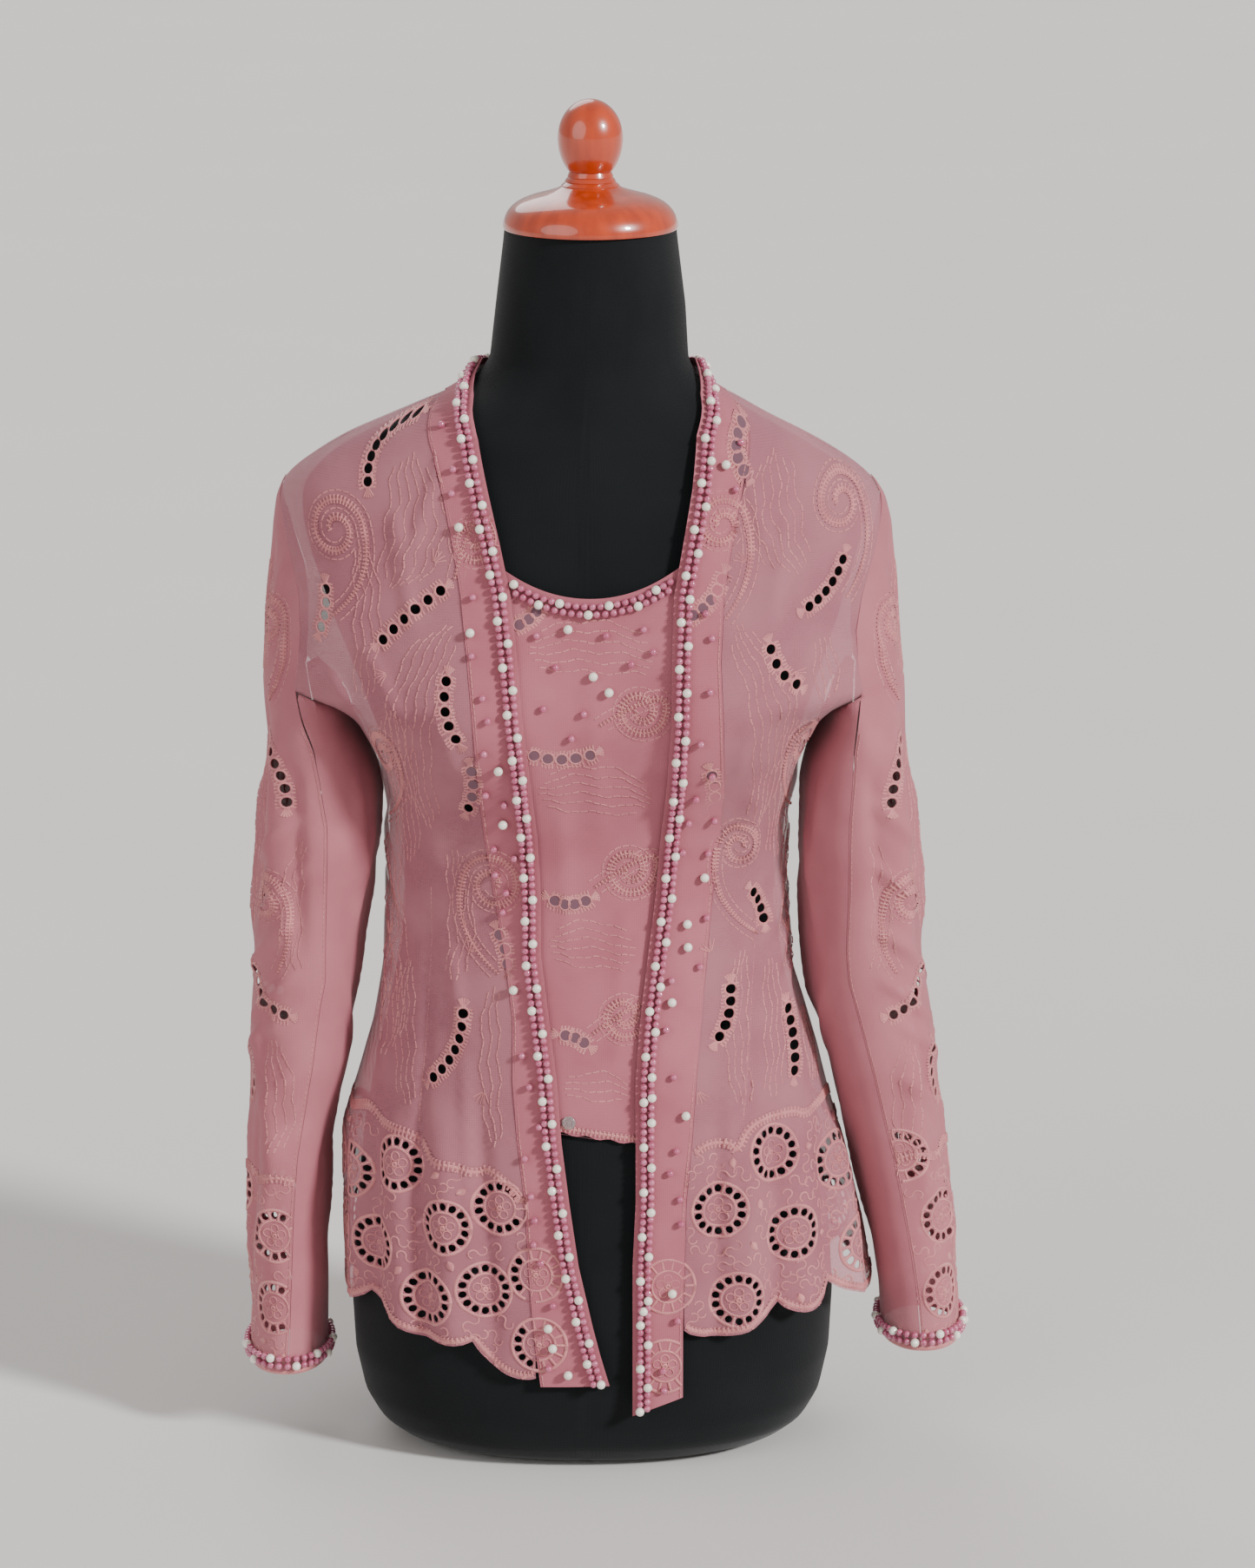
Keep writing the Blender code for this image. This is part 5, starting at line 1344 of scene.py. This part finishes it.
def varied_colour(tree, coordinates, colour, other, scale, low=0.35, high=0.65):
    """Two colours that drift into each other in soft patches."""
    noise = add(tree, "ShaderNodeTexNoise", {"Scale": scale, "Detail": 3.0}, {"Vector": coordinates})
    ramp = add(tree, "ShaderNodeValToRGB", {}, {"Fac": noise.outputs["Fac"]})
    ramp.color_ramp.elements[0].position, ramp.color_ramp.elements[1].position = low, high
    ramp.color_ramp.elements[0].color, ramp.color_ramp.elements[1].color = colour, other
    return ramp.outputs["Color"]


def thread_waves(tree, coordinates, pitch_mm, along):
    """Ridges a thread apart, as 0 to 1."""
    scale = 2 * math.pi / (20.0 * pitch_mm * MM)
    settings = {
        "wave_type": "BANDS", "bands_direction": along, "Scale": scale, "Distortion": 0.6, "Detail": 1.0,
        "Detail Scale": 0.6,
    }
    return add(tree, "ShaderNodeTexWave", settings, {"Vector": coordinates}).outputs["Fac"]


def shaded(tree, colour, ridges, darkest):
    """A colour darkened with painted shade between the ridges of its threads."""
    shade = add(tree, "ShaderNodeMapRange", {"To Min": darkest, "To Max": 1.0}, {"Value": ridges})
    settings = {"data_type": "RGBA", "blend_type": "MULTIPLY", 0: 1.0}
    return add(tree, "ShaderNodeMix", settings, {6: colour, 7: shade.outputs["Result"]}).outputs[2]


def woven(name, colours, opacity, roughness, bump):
    """Plain-woven crepe voile: fine crossed yarns, matt, and see-through between them."""
    settings = {"Roughness": roughness, "IOR": 1.5, "Sheen Weight": 0.1, "Sheen Roughness": 0.5}
    material, tree, shader = finish(name, {**settings, "Specular IOR Level": 0.2})
    chart = add(tree, "ShaderNodeUVMap", {"uv_map": "chart"}).outputs["UV"]
    colour = varied_colour(tree, chart, colours[0], colours[1], 22.0)
    across = thread_waves(tree, chart, YARN_PITCH, "X")
    along = thread_waves(tree, chart, YARN_PITCH * 1.15, "Y")
    weave = add(tree, "ShaderNodeMath", {"operation": "MAXIMUM"}, {0: across, 1: along}).outputs["Value"]
    # Painted shade between the crossed yarns
    tree.links.new(shaded(tree, colour, weave, 0.90), shader.inputs["Base Color"])
    slub = add(tree, "ShaderNodeTexNoise", {"Scale": 30.0, "Detail": 2.0}, {"Vector": chart}).outputs["Fac"]
    cover = {"To Min": opacity - 0.05, "To Max": opacity + 0.05}
    alpha = add(tree, "ShaderNodeMapRange", cover, {"Value": slub})
    tree.links.new(alpha.outputs["Result"], shader.inputs["Alpha"])
    raised = add(tree, "ShaderNodeBump", {"Strength": bump, "Distance": 0.0003}, {"Height": weave})
    tree.links.new(raised.outputs["Normal"], shader.inputs["Normal"])
    return material


def satin_thread(name, colour, other):
    """Viscose embroidery thread in satin stitch: glossy, ribbed across each stroke."""
    settings = {"Roughness": 0.42, "IOR": 1.52, "Sheen Weight": 0.2, "Sheen Roughness": 0.35}
    material, tree, shader = finish(name, {**settings, "Specular IOR Level": 0.45})
    run = add(tree, "ShaderNodeUVMap", {"uv_map": "chart"}).outputs["UV"]
    place = add(tree, "ShaderNodeTexCoord").outputs["Object"]
    colour = varied_colour(tree, place, colour, other, 90.0)
    # Real stitches lie 0.4 mm apart; they are drawn 0.9 mm apart so that they show
    stitches = thread_waves(tree, run, 0.9, "X")
    # Painted shade in the grooves between the stitches
    tree.links.new(shaded(tree, colour, stitches, 0.72), shader.inputs["Base Color"])
    raised = add(tree, "ShaderNodeBump", {"Strength": 0.6, "Distance": 0.0004}, {"Height": stitches})
    tree.links.new(raised.outputs["Normal"], shader.inputs["Normal"])
    return material


def pearl_lacquer(name, colour, other):
    """Plastic beads dipped in pearl essence: a soft body under a bright clear skin, and a painted sheen that
    turns the rims to the lighter second colour.
    """
    material, tree, shader = finish(
        name, {"Roughness": 0.24, "IOR": 1.53, "Coat Weight": 1.0, "Coat Roughness": 0.05}
    )
    place = add(tree, "ShaderNodeTexCoord").outputs["Object"]
    body = varied_colour(tree, place, colour, other, 160.0)
    # Painted sheen: the colour turns to the lighter second colour where the surface turns away from the
    # camera
    rim = add(tree, "ShaderNodeLayerWeight", {"Blend": 0.35}).outputs["Facing"]
    edge = add(tree, "ShaderNodeMix", {"data_type": "RGBA", 7: other}, {0: rim, 6: body})
    tree.links.new(edge.outputs[2], shader.inputs["Base Color"])
    return material


def stretched_jersey(name, colour, other):
    """Cotton and elastane jersey pulled over the form: fine vertical wales, matt, with a faint bloom."""
    settings = {"Roughness": 0.82, "IOR": 1.5, "Sheen Weight": 0.12, "Sheen Roughness": 0.45}
    material, tree, shader = finish(name, {**settings, "Specular IOR Level": 0.15})
    chart = add(tree, "ShaderNodeUVMap", {"uv_map": "chart"}).outputs["UV"]
    # Wales are about 0.5 mm apart; they are drawn 1.4 mm apart so that they show
    wales = thread_waves(tree, chart, 1.4, "X")
    courses = thread_waves(tree, chart, 1.1, "Y")
    knit = add(tree, "ShaderNodeMath", {"operation": "MULTIPLY"}, {0: wales, 1: courses}).outputs["Value"]
    tree.links.new(varied_colour(tree, chart, colour, other, 14.0), shader.inputs["Base Color"])
    raised = add(tree, "ShaderNodeBump", {"Strength": 0.35, "Distance": 0.0003}, {"Height": knit})
    tree.links.new(raised.outputs["Normal"], shader.inputs["Normal"])
    return material


def turned_lacquer(name, colour, other):
    """Beech turned on a lathe, sprayed and polished: deep colour under a mirror-like coat."""
    material, tree, shader = finish(
        name, {"Roughness": 0.3, "IOR": 1.5, "Coat Weight": 1.0, "Coat Roughness": 0.04, "Coat IOR": 1.5}
    )
    place = add(tree, "ShaderNodeTexCoord").outputs["Object"]
    grain = add(tree, "ShaderNodeMapping", {"Scale": (1.0, 1.0, 0.12)}, {"Vector": place}).outputs["Vector"]
    tree.links.new(varied_colour(tree, grain, colour, other, 120.0), shader.inputs["Base Color"])
    lines = thread_waves(tree, place, 1.2, "Z")
    raised = add(tree, "ShaderNodeBump", {"Strength": 0.04, "Distance": 0.0001}, {"Height": lines})
    tree.links.new(raised.outputs["Normal"], shader.inputs["Normal"])
    return material


def clear_moulding(name):
    """Injection-moulded clear polycarbonate: glassy with faint flow marks."""
    settings = {"Base Color": hex_colour("E9E4E2"), "Roughness": 0.08, "IOR": 1.58}
    material, tree, shader = finish(name, {**settings, "Transmission Weight": 0.85})
    place = add(tree, "ShaderNodeTexCoord").outputs["Object"]
    flow = add(tree, "ShaderNodeTexNoise", {"Scale": 400.0, "Detail": 1.0}, {"Vector": place}).outputs["Fac"]
    raised = add(tree, "ShaderNodeBump", {"Strength": 0.08, "Distance": 0.0002}, {"Height": flow})
    tree.links.new(raised.outputs["Normal"], shader.inputs["Normal"])
    return material


def matt_paper(name, colour):
    """A roll of matt background paper: even, with a barely seen tooth."""
    material, tree, shader = finish(name, {"Roughness": 0.9, "IOR": 1.5, "Specular IOR Level": 0.1})
    place = add(tree, "ShaderNodeTexCoord").outputs["Object"]
    light = tuple(min(1.0, part * 1.02) for part in colour[:3]) + (1.0,)
    tree.links.new(varied_colour(tree, place, colour, light, 3.0), shader.inputs["Base Color"])
    return material


class KebayaSettings(bpy.types.PropertyGroup):
    """Sizes and colours that a user may change."""

    voile: bpy.props.FloatVectorProperty(
        name="Voile", description="Colour of the single cloth", subtype="COLOR", size=4,
        min=0, max=1, default=hex_colour("C37F8A"),
    )
    doubled: bpy.props.FloatVectorProperty(
        name="Doubled voile", description="Colour of the doubled cloth", subtype="COLOR", size=4,
        min=0, max=1, default=hex_colour("B76C78"),
    )
    thread: bpy.props.FloatVectorProperty(
        name="Thread", description="Colour of the embroidery", subtype="COLOR", size=4,
        min=0, max=1, default=hex_colour("DE8E8E"),
    )
    lacquer: bpy.props.FloatVectorProperty(
        name="Lacquer", description="Colour of the turned cap and knob", subtype="COLOR", size=4,
        min=0, max=1, default=hex_colour("B83906"),
    )
    opacity: bpy.props.FloatProperty(
        name="Opacity", description="How much one layer of voile covers", default=0.52, min=0.05, max=1.0,
        subtype="FACTOR",
    )
    thickness: bpy.props.FloatProperty(
        name="Thickness", description="Thickness of the cloth shell", default=0.0006, min=0.0002, max=0.0015,
        unit="LENGTH",
    )


def settings():
    return bpy.context.scene.kebaya


def looks():
    """Every finish, made once and found by name after that."""
    if "voile" not in LOOKS:
        chosen = settings()
        LOOKS.update(
            voile=woven(
                "crepe_voile_single", (tuple(chosen.voile), hex_colour("B87380")), chosen.opacity, 0.8, 0.25
            ),
            sleeve_voile=woven(
                "crepe_voile_sleeve", (hex_colour("BC747D"), hex_colour("B36B75")), 0.82, 0.8, 0.25
            ),
            doubled=woven(
                "crepe_voile_doubled", (tuple(chosen.doubled), hex_colour("AE636F")), 0.86, 0.75, 0.25
            ),
            # The lining's colour deepened with painted shade, for the closed eyelets
            lining=woven("shadowed_lining", (hex_colour("7A5763"), hex_colour("6C4B57")), 0.95, 0.85, 0.2),
            thread=satin_thread("viscose_satin_stitch", tuple(chosen.thread), hex_colour("C6787C")),
            pink_pearl=pearl_lacquer("pearl_lacquer_pink", hex_colour("A84566"), hex_colour("BE6884")),
            white_pearl=pearl_lacquer("pearl_lacquer_white", hex_colour("E2DACB"), hex_colour("F0EADF")),
            jersey=stretched_jersey("black_cotton_jersey", hex_colour("0A0D0F"), hex_colour("0F1214")),
            lacquer=turned_lacquer("orange_lacquered_beech", tuple(chosen.lacquer), hex_colour("A22F03")),
            clear=clear_moulding("clear_polycarbonate"),
        )
    return LOOKS


def keep(obj, node, slot):
    """Rides a piece on the body and hides the packed part that it stands for; the slot, which names the
    finish that it takes, is not used.
    """
    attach(obj, "root")
    if node:
        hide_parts(node)
    return obj


def flat_size(outline):
    size = (outline.max(axis=0) - outline.min(axis=0)) * MM
    return (float(size[0]), float(size[1])), area_of(outline)


def strip_size(which):
    """A band's greatest width, its length along the middle, and its area, as one flat strip."""
    edge, seam = (band_chart(which, place, 6) for place in (0.0, None))
    sides = [GIRTH.section_point(line[:, 0], line[:, 1]) for line in (edge, seam)]
    middle = (sides[0] + sides[1]) / 2
    widths = np.linalg.norm(sides[1] - sides[0], axis=1) * MM
    steps = np.linalg.norm(np.diff(middle, axis=0), axis=1) * MM
    area = float(np.sum(steps * (widths[1:] + widths[:-1]) / 2))
    return (float(widths.max()), float(steps.sum())), area


def panel(
    name, node, slot, surface, outline, holes, outward, look,
    outer=0.0, spacing=FINE,
):
    """One cut piece of cloth, and its flat size."""
    chart, faces = triangulate(outline, holes, spacing)
    obj = cloth(name, surface, chart, faces, outward, looks()[look], outer, settings().thickness / MM)
    keep(obj, node, slot)
    flat, area = strip_size(name.split("_")[1]) if name.startswith("band_") else flat_size(outline)


def front_surface(which):
    return folded(GIRTH.section_point, FOLDS[which], 1.0, RIPPLE["body"])


def back_surface():
    rows = [(s * a, b, s * c, d, w, out) for a, b, c, d, w, out in FOLDS["back"] for s in (-1, 1)]
    return folded(back_point, rows, -1.0, RIPPLE["body"])


def insert_surface():
    return folded(GIRTH.section_point, FOLDS["insert"], 1.0, RIPPLE["doubled"])


def sleeve_surface(which, tube):
    return folded(tube.point, FOLDS["sleeve_" + which] + UNDER_FOLDS, -tube.sign, RIPPLE["sleeve"])


def torso():
    """The form's body in rings from base to neck, with a groove at its neck seam."""
    low, high = FORM_SECTIONS[0][0], FORM_SECTIONS[-1][0]
    heights = np.arange(low, high + Z_STEP / 2, Z_STEP)
    columns = [smooth_column(FORM_SECTIONS, i, low, high, 4) for i in range(1, 6)]
    angle = 2 * math.pi * np.arange(FORM_SIDES) / FORM_SIDES
    rings = np.concatenate([np.linspace(0, 16, 9), np.arange(20, high - 3.9, 4.0), [high]])
    points, uv = [], []
    for z in rings:
        level = np.full(FORM_SIDES, z)
        x, y = ring_points(angle, *(float(np.interp(z, heights, column)) for column in columns))
        seam = 683.0 - 12.0 * np.clip(np.cos(angle), 0.0, 1.0) ** 2
        groove = 1.0 - 0.007 * np.exp(-(((z - seam) / 1.6) ** 2))
        points.append(np.stack([x * groove, with_bust(x, y, level) * groove, level], axis=1))
        uv.append(np.stack([angle * 120.0, level], axis=1))
    faces = []
    for start in range(0, (len(rings) - 1) * FORM_SIDES, FORM_SIDES):
        for k in range(FORM_SIDES):
            after = (k + 1) % FORM_SIDES
            faces.append((start + k, start + after, start + FORM_SIDES + after, start + FORM_SIDES + k))
    top = (len(rings) - 1) * FORM_SIDES
    faces += [tuple(range(FORM_SIDES))[::-1], tuple(range(top, top + FORM_SIDES))]
    return np.concatenate(points), faces, np.concatenate(uv)


def egg():
    """The knob's outer side, from its top down to its foot."""
    height = KNOB["top"] - KNOB["foot"]
    middle = KNOB["foot"] + KNOB["widest_at"] * height
    below = KNOB["lower_reach"] * height
    lowest = math.asin((middle - KNOB["foot"]) / below)
    side = []
    for turn in np.linspace(math.radians(88.0), -lowest, 30):
        reach = KNOB["top"] - middle if turn > 0 else below
        side.append((KNOB["half_width"] * math.cos(turn), middle + reach * math.sin(turn)))
    return side


class KEBAYA_OT_form(bpy.types.Operator):
    """Makes the dress form: jersey torso with its neck seam, turned cap and knob"""

    bl_idname = "kebaya.form"
    bl_label = "Dress form"

    def execute(self, context):
        points, faces, uv = torso()
        body = mesh_piece("form_torso_jersey", points, faces, looks()["jersey"], uv)
        body.data.set_sharp_from_angle(angle=math.radians(55))
        keep(body, "form_torso", "black_jersey")
        for part, side in (("cap", CAP_PROFILE), ("knob", egg())):
            obj = turned("form_%s_lacquered" % part, side, looks()["lacquer"])
            keep(obj, "form_" + part, "orange_lacquer")
        return {"FINISHED"}


class KEBAYA_OT_panels(bpy.types.Operator):
    """Cuts the two fronts and the back with their eyelets, and bends them onto the worn shape"""

    bl_idname = "kebaya.panels"
    bl_label = "Fronts and back"

    def execute(self, context):
        for which in ("right", "left"):
            name = "front_" + which
            outline = front_outline(which)
            holes = kept_holes(eyelets(CHAINS[which], RINGS[which]), outline)
            panel(name + "_voile", name, "single_voile", front_surface(which), outline, holes, 1.0, "voile")
        outline = back_outline()
        holes = kept_holes(eyelets(mirrored(CHAINS["back"]), RINGS["back"]), outline)
        panel("back_voile", "back", "single_voile", back_surface(), outline, holes, -1.0, "voile")
        return {"FINISHED"}


class KEBAYA_OT_bands(bpy.types.Operator):
    """Makes the doubled front bands and the insert behind them"""

    bl_idname = "kebaya.bands"
    bl_label = "Bands and insert"

    def execute(self, context):
        surface = folded(GIRTH.section_point, (), 1.0, RIPPLE["doubled"])
        for which in ("right", "left"):
            name = "band_" + which
            outline = band_outline(which)
            panel(name + "_voile", name, "doubled_voile", surface, outline, [], 1.0, "doubled", BAND_PROUD)
        panel(
            "insert_voile", "insert_panel", "doubled_voile", insert_surface(), insert_outline(), [], 1.0,
            "doubled", -INSERT_SINK,
        )
        return {"FINISHED"}


class KEBAYA_OT_sleeves(bpy.types.Operator):
    """Makes each sleeve's outer piece, which carries the cap, and its under piece"""

    bl_idname = "kebaya.sleeves"
    bl_label = "Sleeves"

    def execute(self, context):
        for which in ("right", "left"):
            tube = Sleeve(which)
            surface = sleeve_surface(which, tube)
            outer, under = sleeve_outlines(which, tube)
            name = "sleeve_" + which
            holes = kept_holes(eyelets(CHAINS["sleeve"], RINGS[name]), outer)
            for half, outline, cuts, spacing in (
                ("_outer", outer, holes, SLEEVE_FINE), ("_under", under, [], FINE),
            ):
                panel(
                    name + half + "_voile", name + half, "single_voile", surface, outline, cuts, -tube.sign,
                    "sleeve_voile", spacing=spacing,
                )
        return {"FINISHED"}


def embroider_front(which):
    """A front's thread work with its satin hem, the band seam's and the dart's stitches, and the lining,
    darkened with painted shade, in its closed eyelets.
    """
    sign = SIGN[which]
    outline, band = front_outline(which), band_outline(which)
    work = Stitches()
    work.sew(which, RINGS[which])
    work.border(which)
    work.edging(hem_line(HEMS[which]), sign * EDGING_INSET)
    seam = band_chart(which, None)[: 2 * len(BANDS[which])]
    work.running(moved(seam, sign * 1.8), 3.4, 0.8, 0.9)
    work.running(np.linspace(*DARTS[which], 20), 2.6, 0.6, 0.9)
    for girth, z, turn in FEATHERS:
        work.feather(*((girth, z, turn) if which == "right" else (-girth, z, math.pi - turn)))
    through, closed = eyelet_middles(which, outline)
    closed = [p for p in closed if inside(np.array([p]), outline)[0] or inside(np.array([p]), band)[0]]
    chart = work.trim((outline, band), through)
    proud = np.where(inside(chart, band), BAND_PROUD, 0.0)
    surface = front_surface(which)
    obj = work.build("embroidery_front_" + which, surface, 1.0, looks()["thread"], proud)
    keep(obj, None, "single_voile")
    lining = looks()["lining"]
    dimples("lining_in_eyelets_" + which, closed, surface, BAND_PROUD + LINING_PROUD, lining)


def embroider_back():
    outline = back_outline()
    work = Stitches()
    work.sew("back", RINGS["back"])
    work.border("back")
    work.edging(hem_line(HEMS["back"]), EDGING_INSET)
    work.trim((outline,), eyelet_middles("back", outline)[0])
    keep(work.build("embroidery_back", back_surface(), -1.0, looks()["thread"]), None, "single_voile")


def embroider_insert():
    outline, surface = insert_outline(), insert_surface()
    work = Stitches()
    work.sew("insert")
    lower = [(girth, insert_bottom(girth)) for girth in np.linspace(-24, 36, 24)]
    work.edging(lower, 2.6, 4.6)
    work.trim((outline,))
    obj = work.build("embroidery_insert", surface, 1.0, looks()["thread"], -INSERT_SINK)
    keep(obj, None, "doubled_voile")
    closed = eyelet_middles("insert", outline)[1]
    dimples("lining_in_eyelets_insert", closed, surface, LINING_PROUD - INSERT_SINK, looks()["lining"])


def embroider_sleeve(which):
    """A sleeve's thread work with the stitches along its front seam, and the satin edge of its cuff."""
    name, cuff, tube = "sleeve_" + which, CUFF[which], Sleeve(which)
    outer = sleeve_outlines(which, tube)[0]
    work = Stitches()
    work.sew("sleeve", RINGS[name])
    work.border(name)
    seams = np.array(SLEEVE_SEAMS[which], float)
    heights = np.arange(cuff + 4, 500, 6.0)
    front = np.interp(heights, seams[:, 0], seams[:, 1]) - 1.8
    work.running(np.stack([front, heights], axis=1), 3.0, 0.7, 0.8)
    work.trim((outer,), eyelet_middles("sleeve", outer)[0])
    obj = work.build("embroidery_" + name, sleeve_surface(which, tube), -tube.sign, looks()["thread"])
    keep(obj, None, "single_voile")
    work = Stitches()
    around = np.linspace(0.0, tube.whole(cuff), 90)[:-1]
    work.strip([(girth, cuff + 0.4) for girth in around], 4.2, 0.7)
    keep(work.build("cuff_edging_" + which, tube.point, -tube.sign, looks()["thread"]), None, "single_voile")


class KEBAYA_OT_embroidery(bpy.types.Operator):
    """Lays the thread work: eyelet chains, satin curls, running stitches, border rings and satin edges"""

    bl_idname = "kebaya.embroidery"
    bl_label = "Embroidery"

    def execute(self, context):
        for which in ("right", "left"):
            embroider_front(which)
        embroider_back()
        embroider_insert()
        for which in ("right", "left"):
            embroider_sleeve(which)
        return {"FINISHED"}


class KEBAYA_OT_pearls(bpy.types.Operator):
    """Sews the double pearl rows along the edges, and the loose pearls beside them"""

    bl_idname = "kebaya.pearls"
    bl_label = "Pearls"

    def execute(self, context):
        surface = GIRTH.section_point
        for which, seed in PEARL_SEEDS.items():
            band = band_outline(which)
            inner = band[(band[:, 1] < 700) & (np.abs(band[:, 0]) < 130)]
            lines = [band_chart(which, offset) for offset in PEARL_ROWS]
            near = [place for place in scattered(seed, inner, 3.5, 80, 13.0) if off_lines(place, lines, 8.5)]
            pearl_rows("band_" + which, surface, 1.0, lines, BAND_PROUD + PEARL_LIFT, near[:LOOSE_PEARLS])
        lines = []
        for offset in PEARL_ROWS:
            ends = [insert_edge(which, 600.0 - offset, -0.8) for which in ("right", "left")]
            lines.append(np.array([(g, insert_top(g) - offset) for g in np.linspace(*ends, 24)]))
        pearl_rows("insert", surface, 1.0, lines, PEARL_LIFT - INSERT_SINK, INSERT_PEARLS)
        for which in ("right", "left"):
            tube = Sleeve(which)
            cuff = CUFF[which]
            around = np.linspace(0.0, tube.whole(cuff), 80)
            lines = [np.stack([around, np.full(80, cuff + offset)], axis=1) for offset in PEARL_ROWS]
            pearl_rows("cuff_" + which, tube.point, -tube.sign, lines, PEARL_LIFT)
        return {"FINISHED"}


def stud_mesh():
    """The press stud as rims round its own axis, a single point at each end."""
    work = bmesh.new()
    rims = []
    for radius, height in STUD_PROFILE:
        turns = [2 * math.pi * k / STUD_SIDES for k in range(STUD_SIDES if radius else 1)]
        rim = [(radius * math.cos(turn) * MM, radius * math.sin(turn) * MM, height * MM) for turn in turns]
        rims.append([work.verts.new(place) for place in rim])
    for upper, lower in zip(rims[:-1], rims[1:]):
        for k in range(STUD_SIDES):
            after = (k + 1) % STUD_SIDES
            places = ((upper, k), (lower, k), (lower, after), (upper, after))
            corners = dict.fromkeys(rim[at % len(rim)] for rim, at in places)
            work.faces.new(list(corners))
    mesh = bpy.data.meshes.new("press_stud")
    work.to_mesh(mesh)
    work.free()
    mesh.shade_smooth()
    mesh.set_sharp_from_angle(angle=math.radians(45))
    mesh.materials.append(looks()["clear"])
    return mesh


class KEBAYA_OT_snap(bpy.types.Operator):
    """Makes the clear press stud on the insert's corner"""

    bl_idname = "kebaya.snap"
    bl_label = "Press stud"

    def execute(self, context):
        low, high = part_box("snap_button")
        normal = Vector(normals(GIRTH.section_point, np.array([STUD_PLACE]), 1.0)[0])
        mesh = stud_mesh()
        mesh.transform(normal.to_track_quat("Z", "Y").to_matrix().to_4x4())
        obj = bpy.data.objects.new("press_stud", mesh)
        context.scene.collection.objects.link(obj)
        obj.location = (low + high) / 2
        keep(obj, "snap_button", "clear_plastic")
        return {"FINISHED"}


def background():
    """The pale floor, with its top at the ground."""
    mesh = bpy.data.meshes.new("floor")
    corners = [(FLOOR_REACH * x, FLOOR_REACH * y, 0) for x, y in ((-1, -1), (1, -1), (1, 1), (-1, 1))]
    mesh.from_pydata(corners, [], [(0, 1, 2, 3)])
    mesh.materials.append(matt_paper("matt_background_paper", hex_colour("D9D6D3")))
    floor = bpy.data.objects.new("floor", mesh)
    bpy.context.scene.collection.objects.link(floor)


def light():
    """Three soft lamps and the even light of the room."""
    for name, (place, softness, strength) in LAMPS.items():
        lamp = bpy.data.lights.new("studio_" + name, "SUN")
        lamp.angle = math.radians(softness)
        lamp.energy = strength
        obj = bpy.data.objects.new("studio_" + name, lamp)
        obj.location = place
        obj.rotation_euler = (Vector(LAMPS_AIM) - Vector(place)).to_track_quat("-Z", "Y").to_euler()
        bpy.context.scene.collection.objects.link(obj)
    world = bpy.data.worlds.new("studio")
    world.use_nodes = True
    air = world.node_tree.nodes["Background"]
    air.inputs["Color"].default_value = hex_colour("E8E6E4")
    air.inputs["Strength"].default_value = AIR_LIGHT
    bpy.context.scene.world = world


def aim_camera():
    camera = bpy.data.cameras.new("camera")
    camera.sensor_fit = "VERTICAL"
    camera.sensor_height = CAMERA["sensor"]
    camera.lens = CAMERA["lens"]
    camera.clip_end = 100.0
    obj = bpy.data.objects.new("camera", camera)
    obj.location = CAMERA["place"]
    obj.rotation_euler = (math.radians(90.0 - CAMERA["down_degrees"]), 0.0, 0.0)
    bpy.context.scene.collection.objects.link(obj)
    bpy.context.scene.camera = obj


class KEBAYA_OT_stage(bpy.types.Operator):
    """Sets the pale floor, the soft lights and the camera"""

    bl_idname = "kebaya.stage"
    bl_label = "Stage"

    def execute(self, context):
        background()
        light()
        aim_camera()
        return {"FINISHED"}


class KEBAYA_OT_declare(bpy.types.Operator):
    """Does nothing; the pieces of cloth are not declared with their cut sizes"""

    bl_idname = "kebaya.declare"
    bl_label = "Declare the cloth"

    def execute(self, context):
        return {"FINISHED"}


class KEBAYA_PT_panel(bpy.types.Panel):
    """Lists the settings and the operators in the order that they run"""

    bl_idname = "KEBAYA_PT_panel"
    bl_label = "Kebaya"
    bl_space_type = "VIEW_3D"
    bl_region_type = "UI"
    bl_category = "Kebaya"

    def draw(self, context):
        for name in KebayaSettings.__annotations__:
            self.layout.prop(context.scene.kebaya, name)
        for operator in OPERATORS:
            self.layout.operator(operator.bl_idname)


OPERATORS = (
    KEBAYA_OT_form,
    KEBAYA_OT_panels,
    KEBAYA_OT_bands,
    KEBAYA_OT_sleeves,
    KEBAYA_OT_embroidery,
    KEBAYA_OT_pearls,
    KEBAYA_OT_snap,
    KEBAYA_OT_declare,
    KEBAYA_OT_stage,
)


def register():
    for kind in (KebayaSettings, *OPERATORS, KEBAYA_PT_panel):
        bpy.utils.register_class(kind)
    bpy.types.Scene.kebaya = bpy.props.PointerProperty(type=KebayaSettings)


def unregister():
    del bpy.types.Scene.kebaya
    for kind in (KEBAYA_PT_panel, *reversed(OPERATORS), KebayaSettings):
        bpy.utils.unregister_class(kind)


def main():
    register()
    bpy.ops.kebaya.form()
    bpy.ops.kebaya.panels()
    bpy.ops.kebaya.bands()
    bpy.ops.kebaya.sleeves()
    bpy.ops.kebaya.embroidery()
    bpy.ops.kebaya.pearls()
    bpy.ops.kebaya.snap()
    bpy.ops.kebaya.declare()
    bpy.ops.kebaya.stage()


if __name__ == "__main__":
    main()
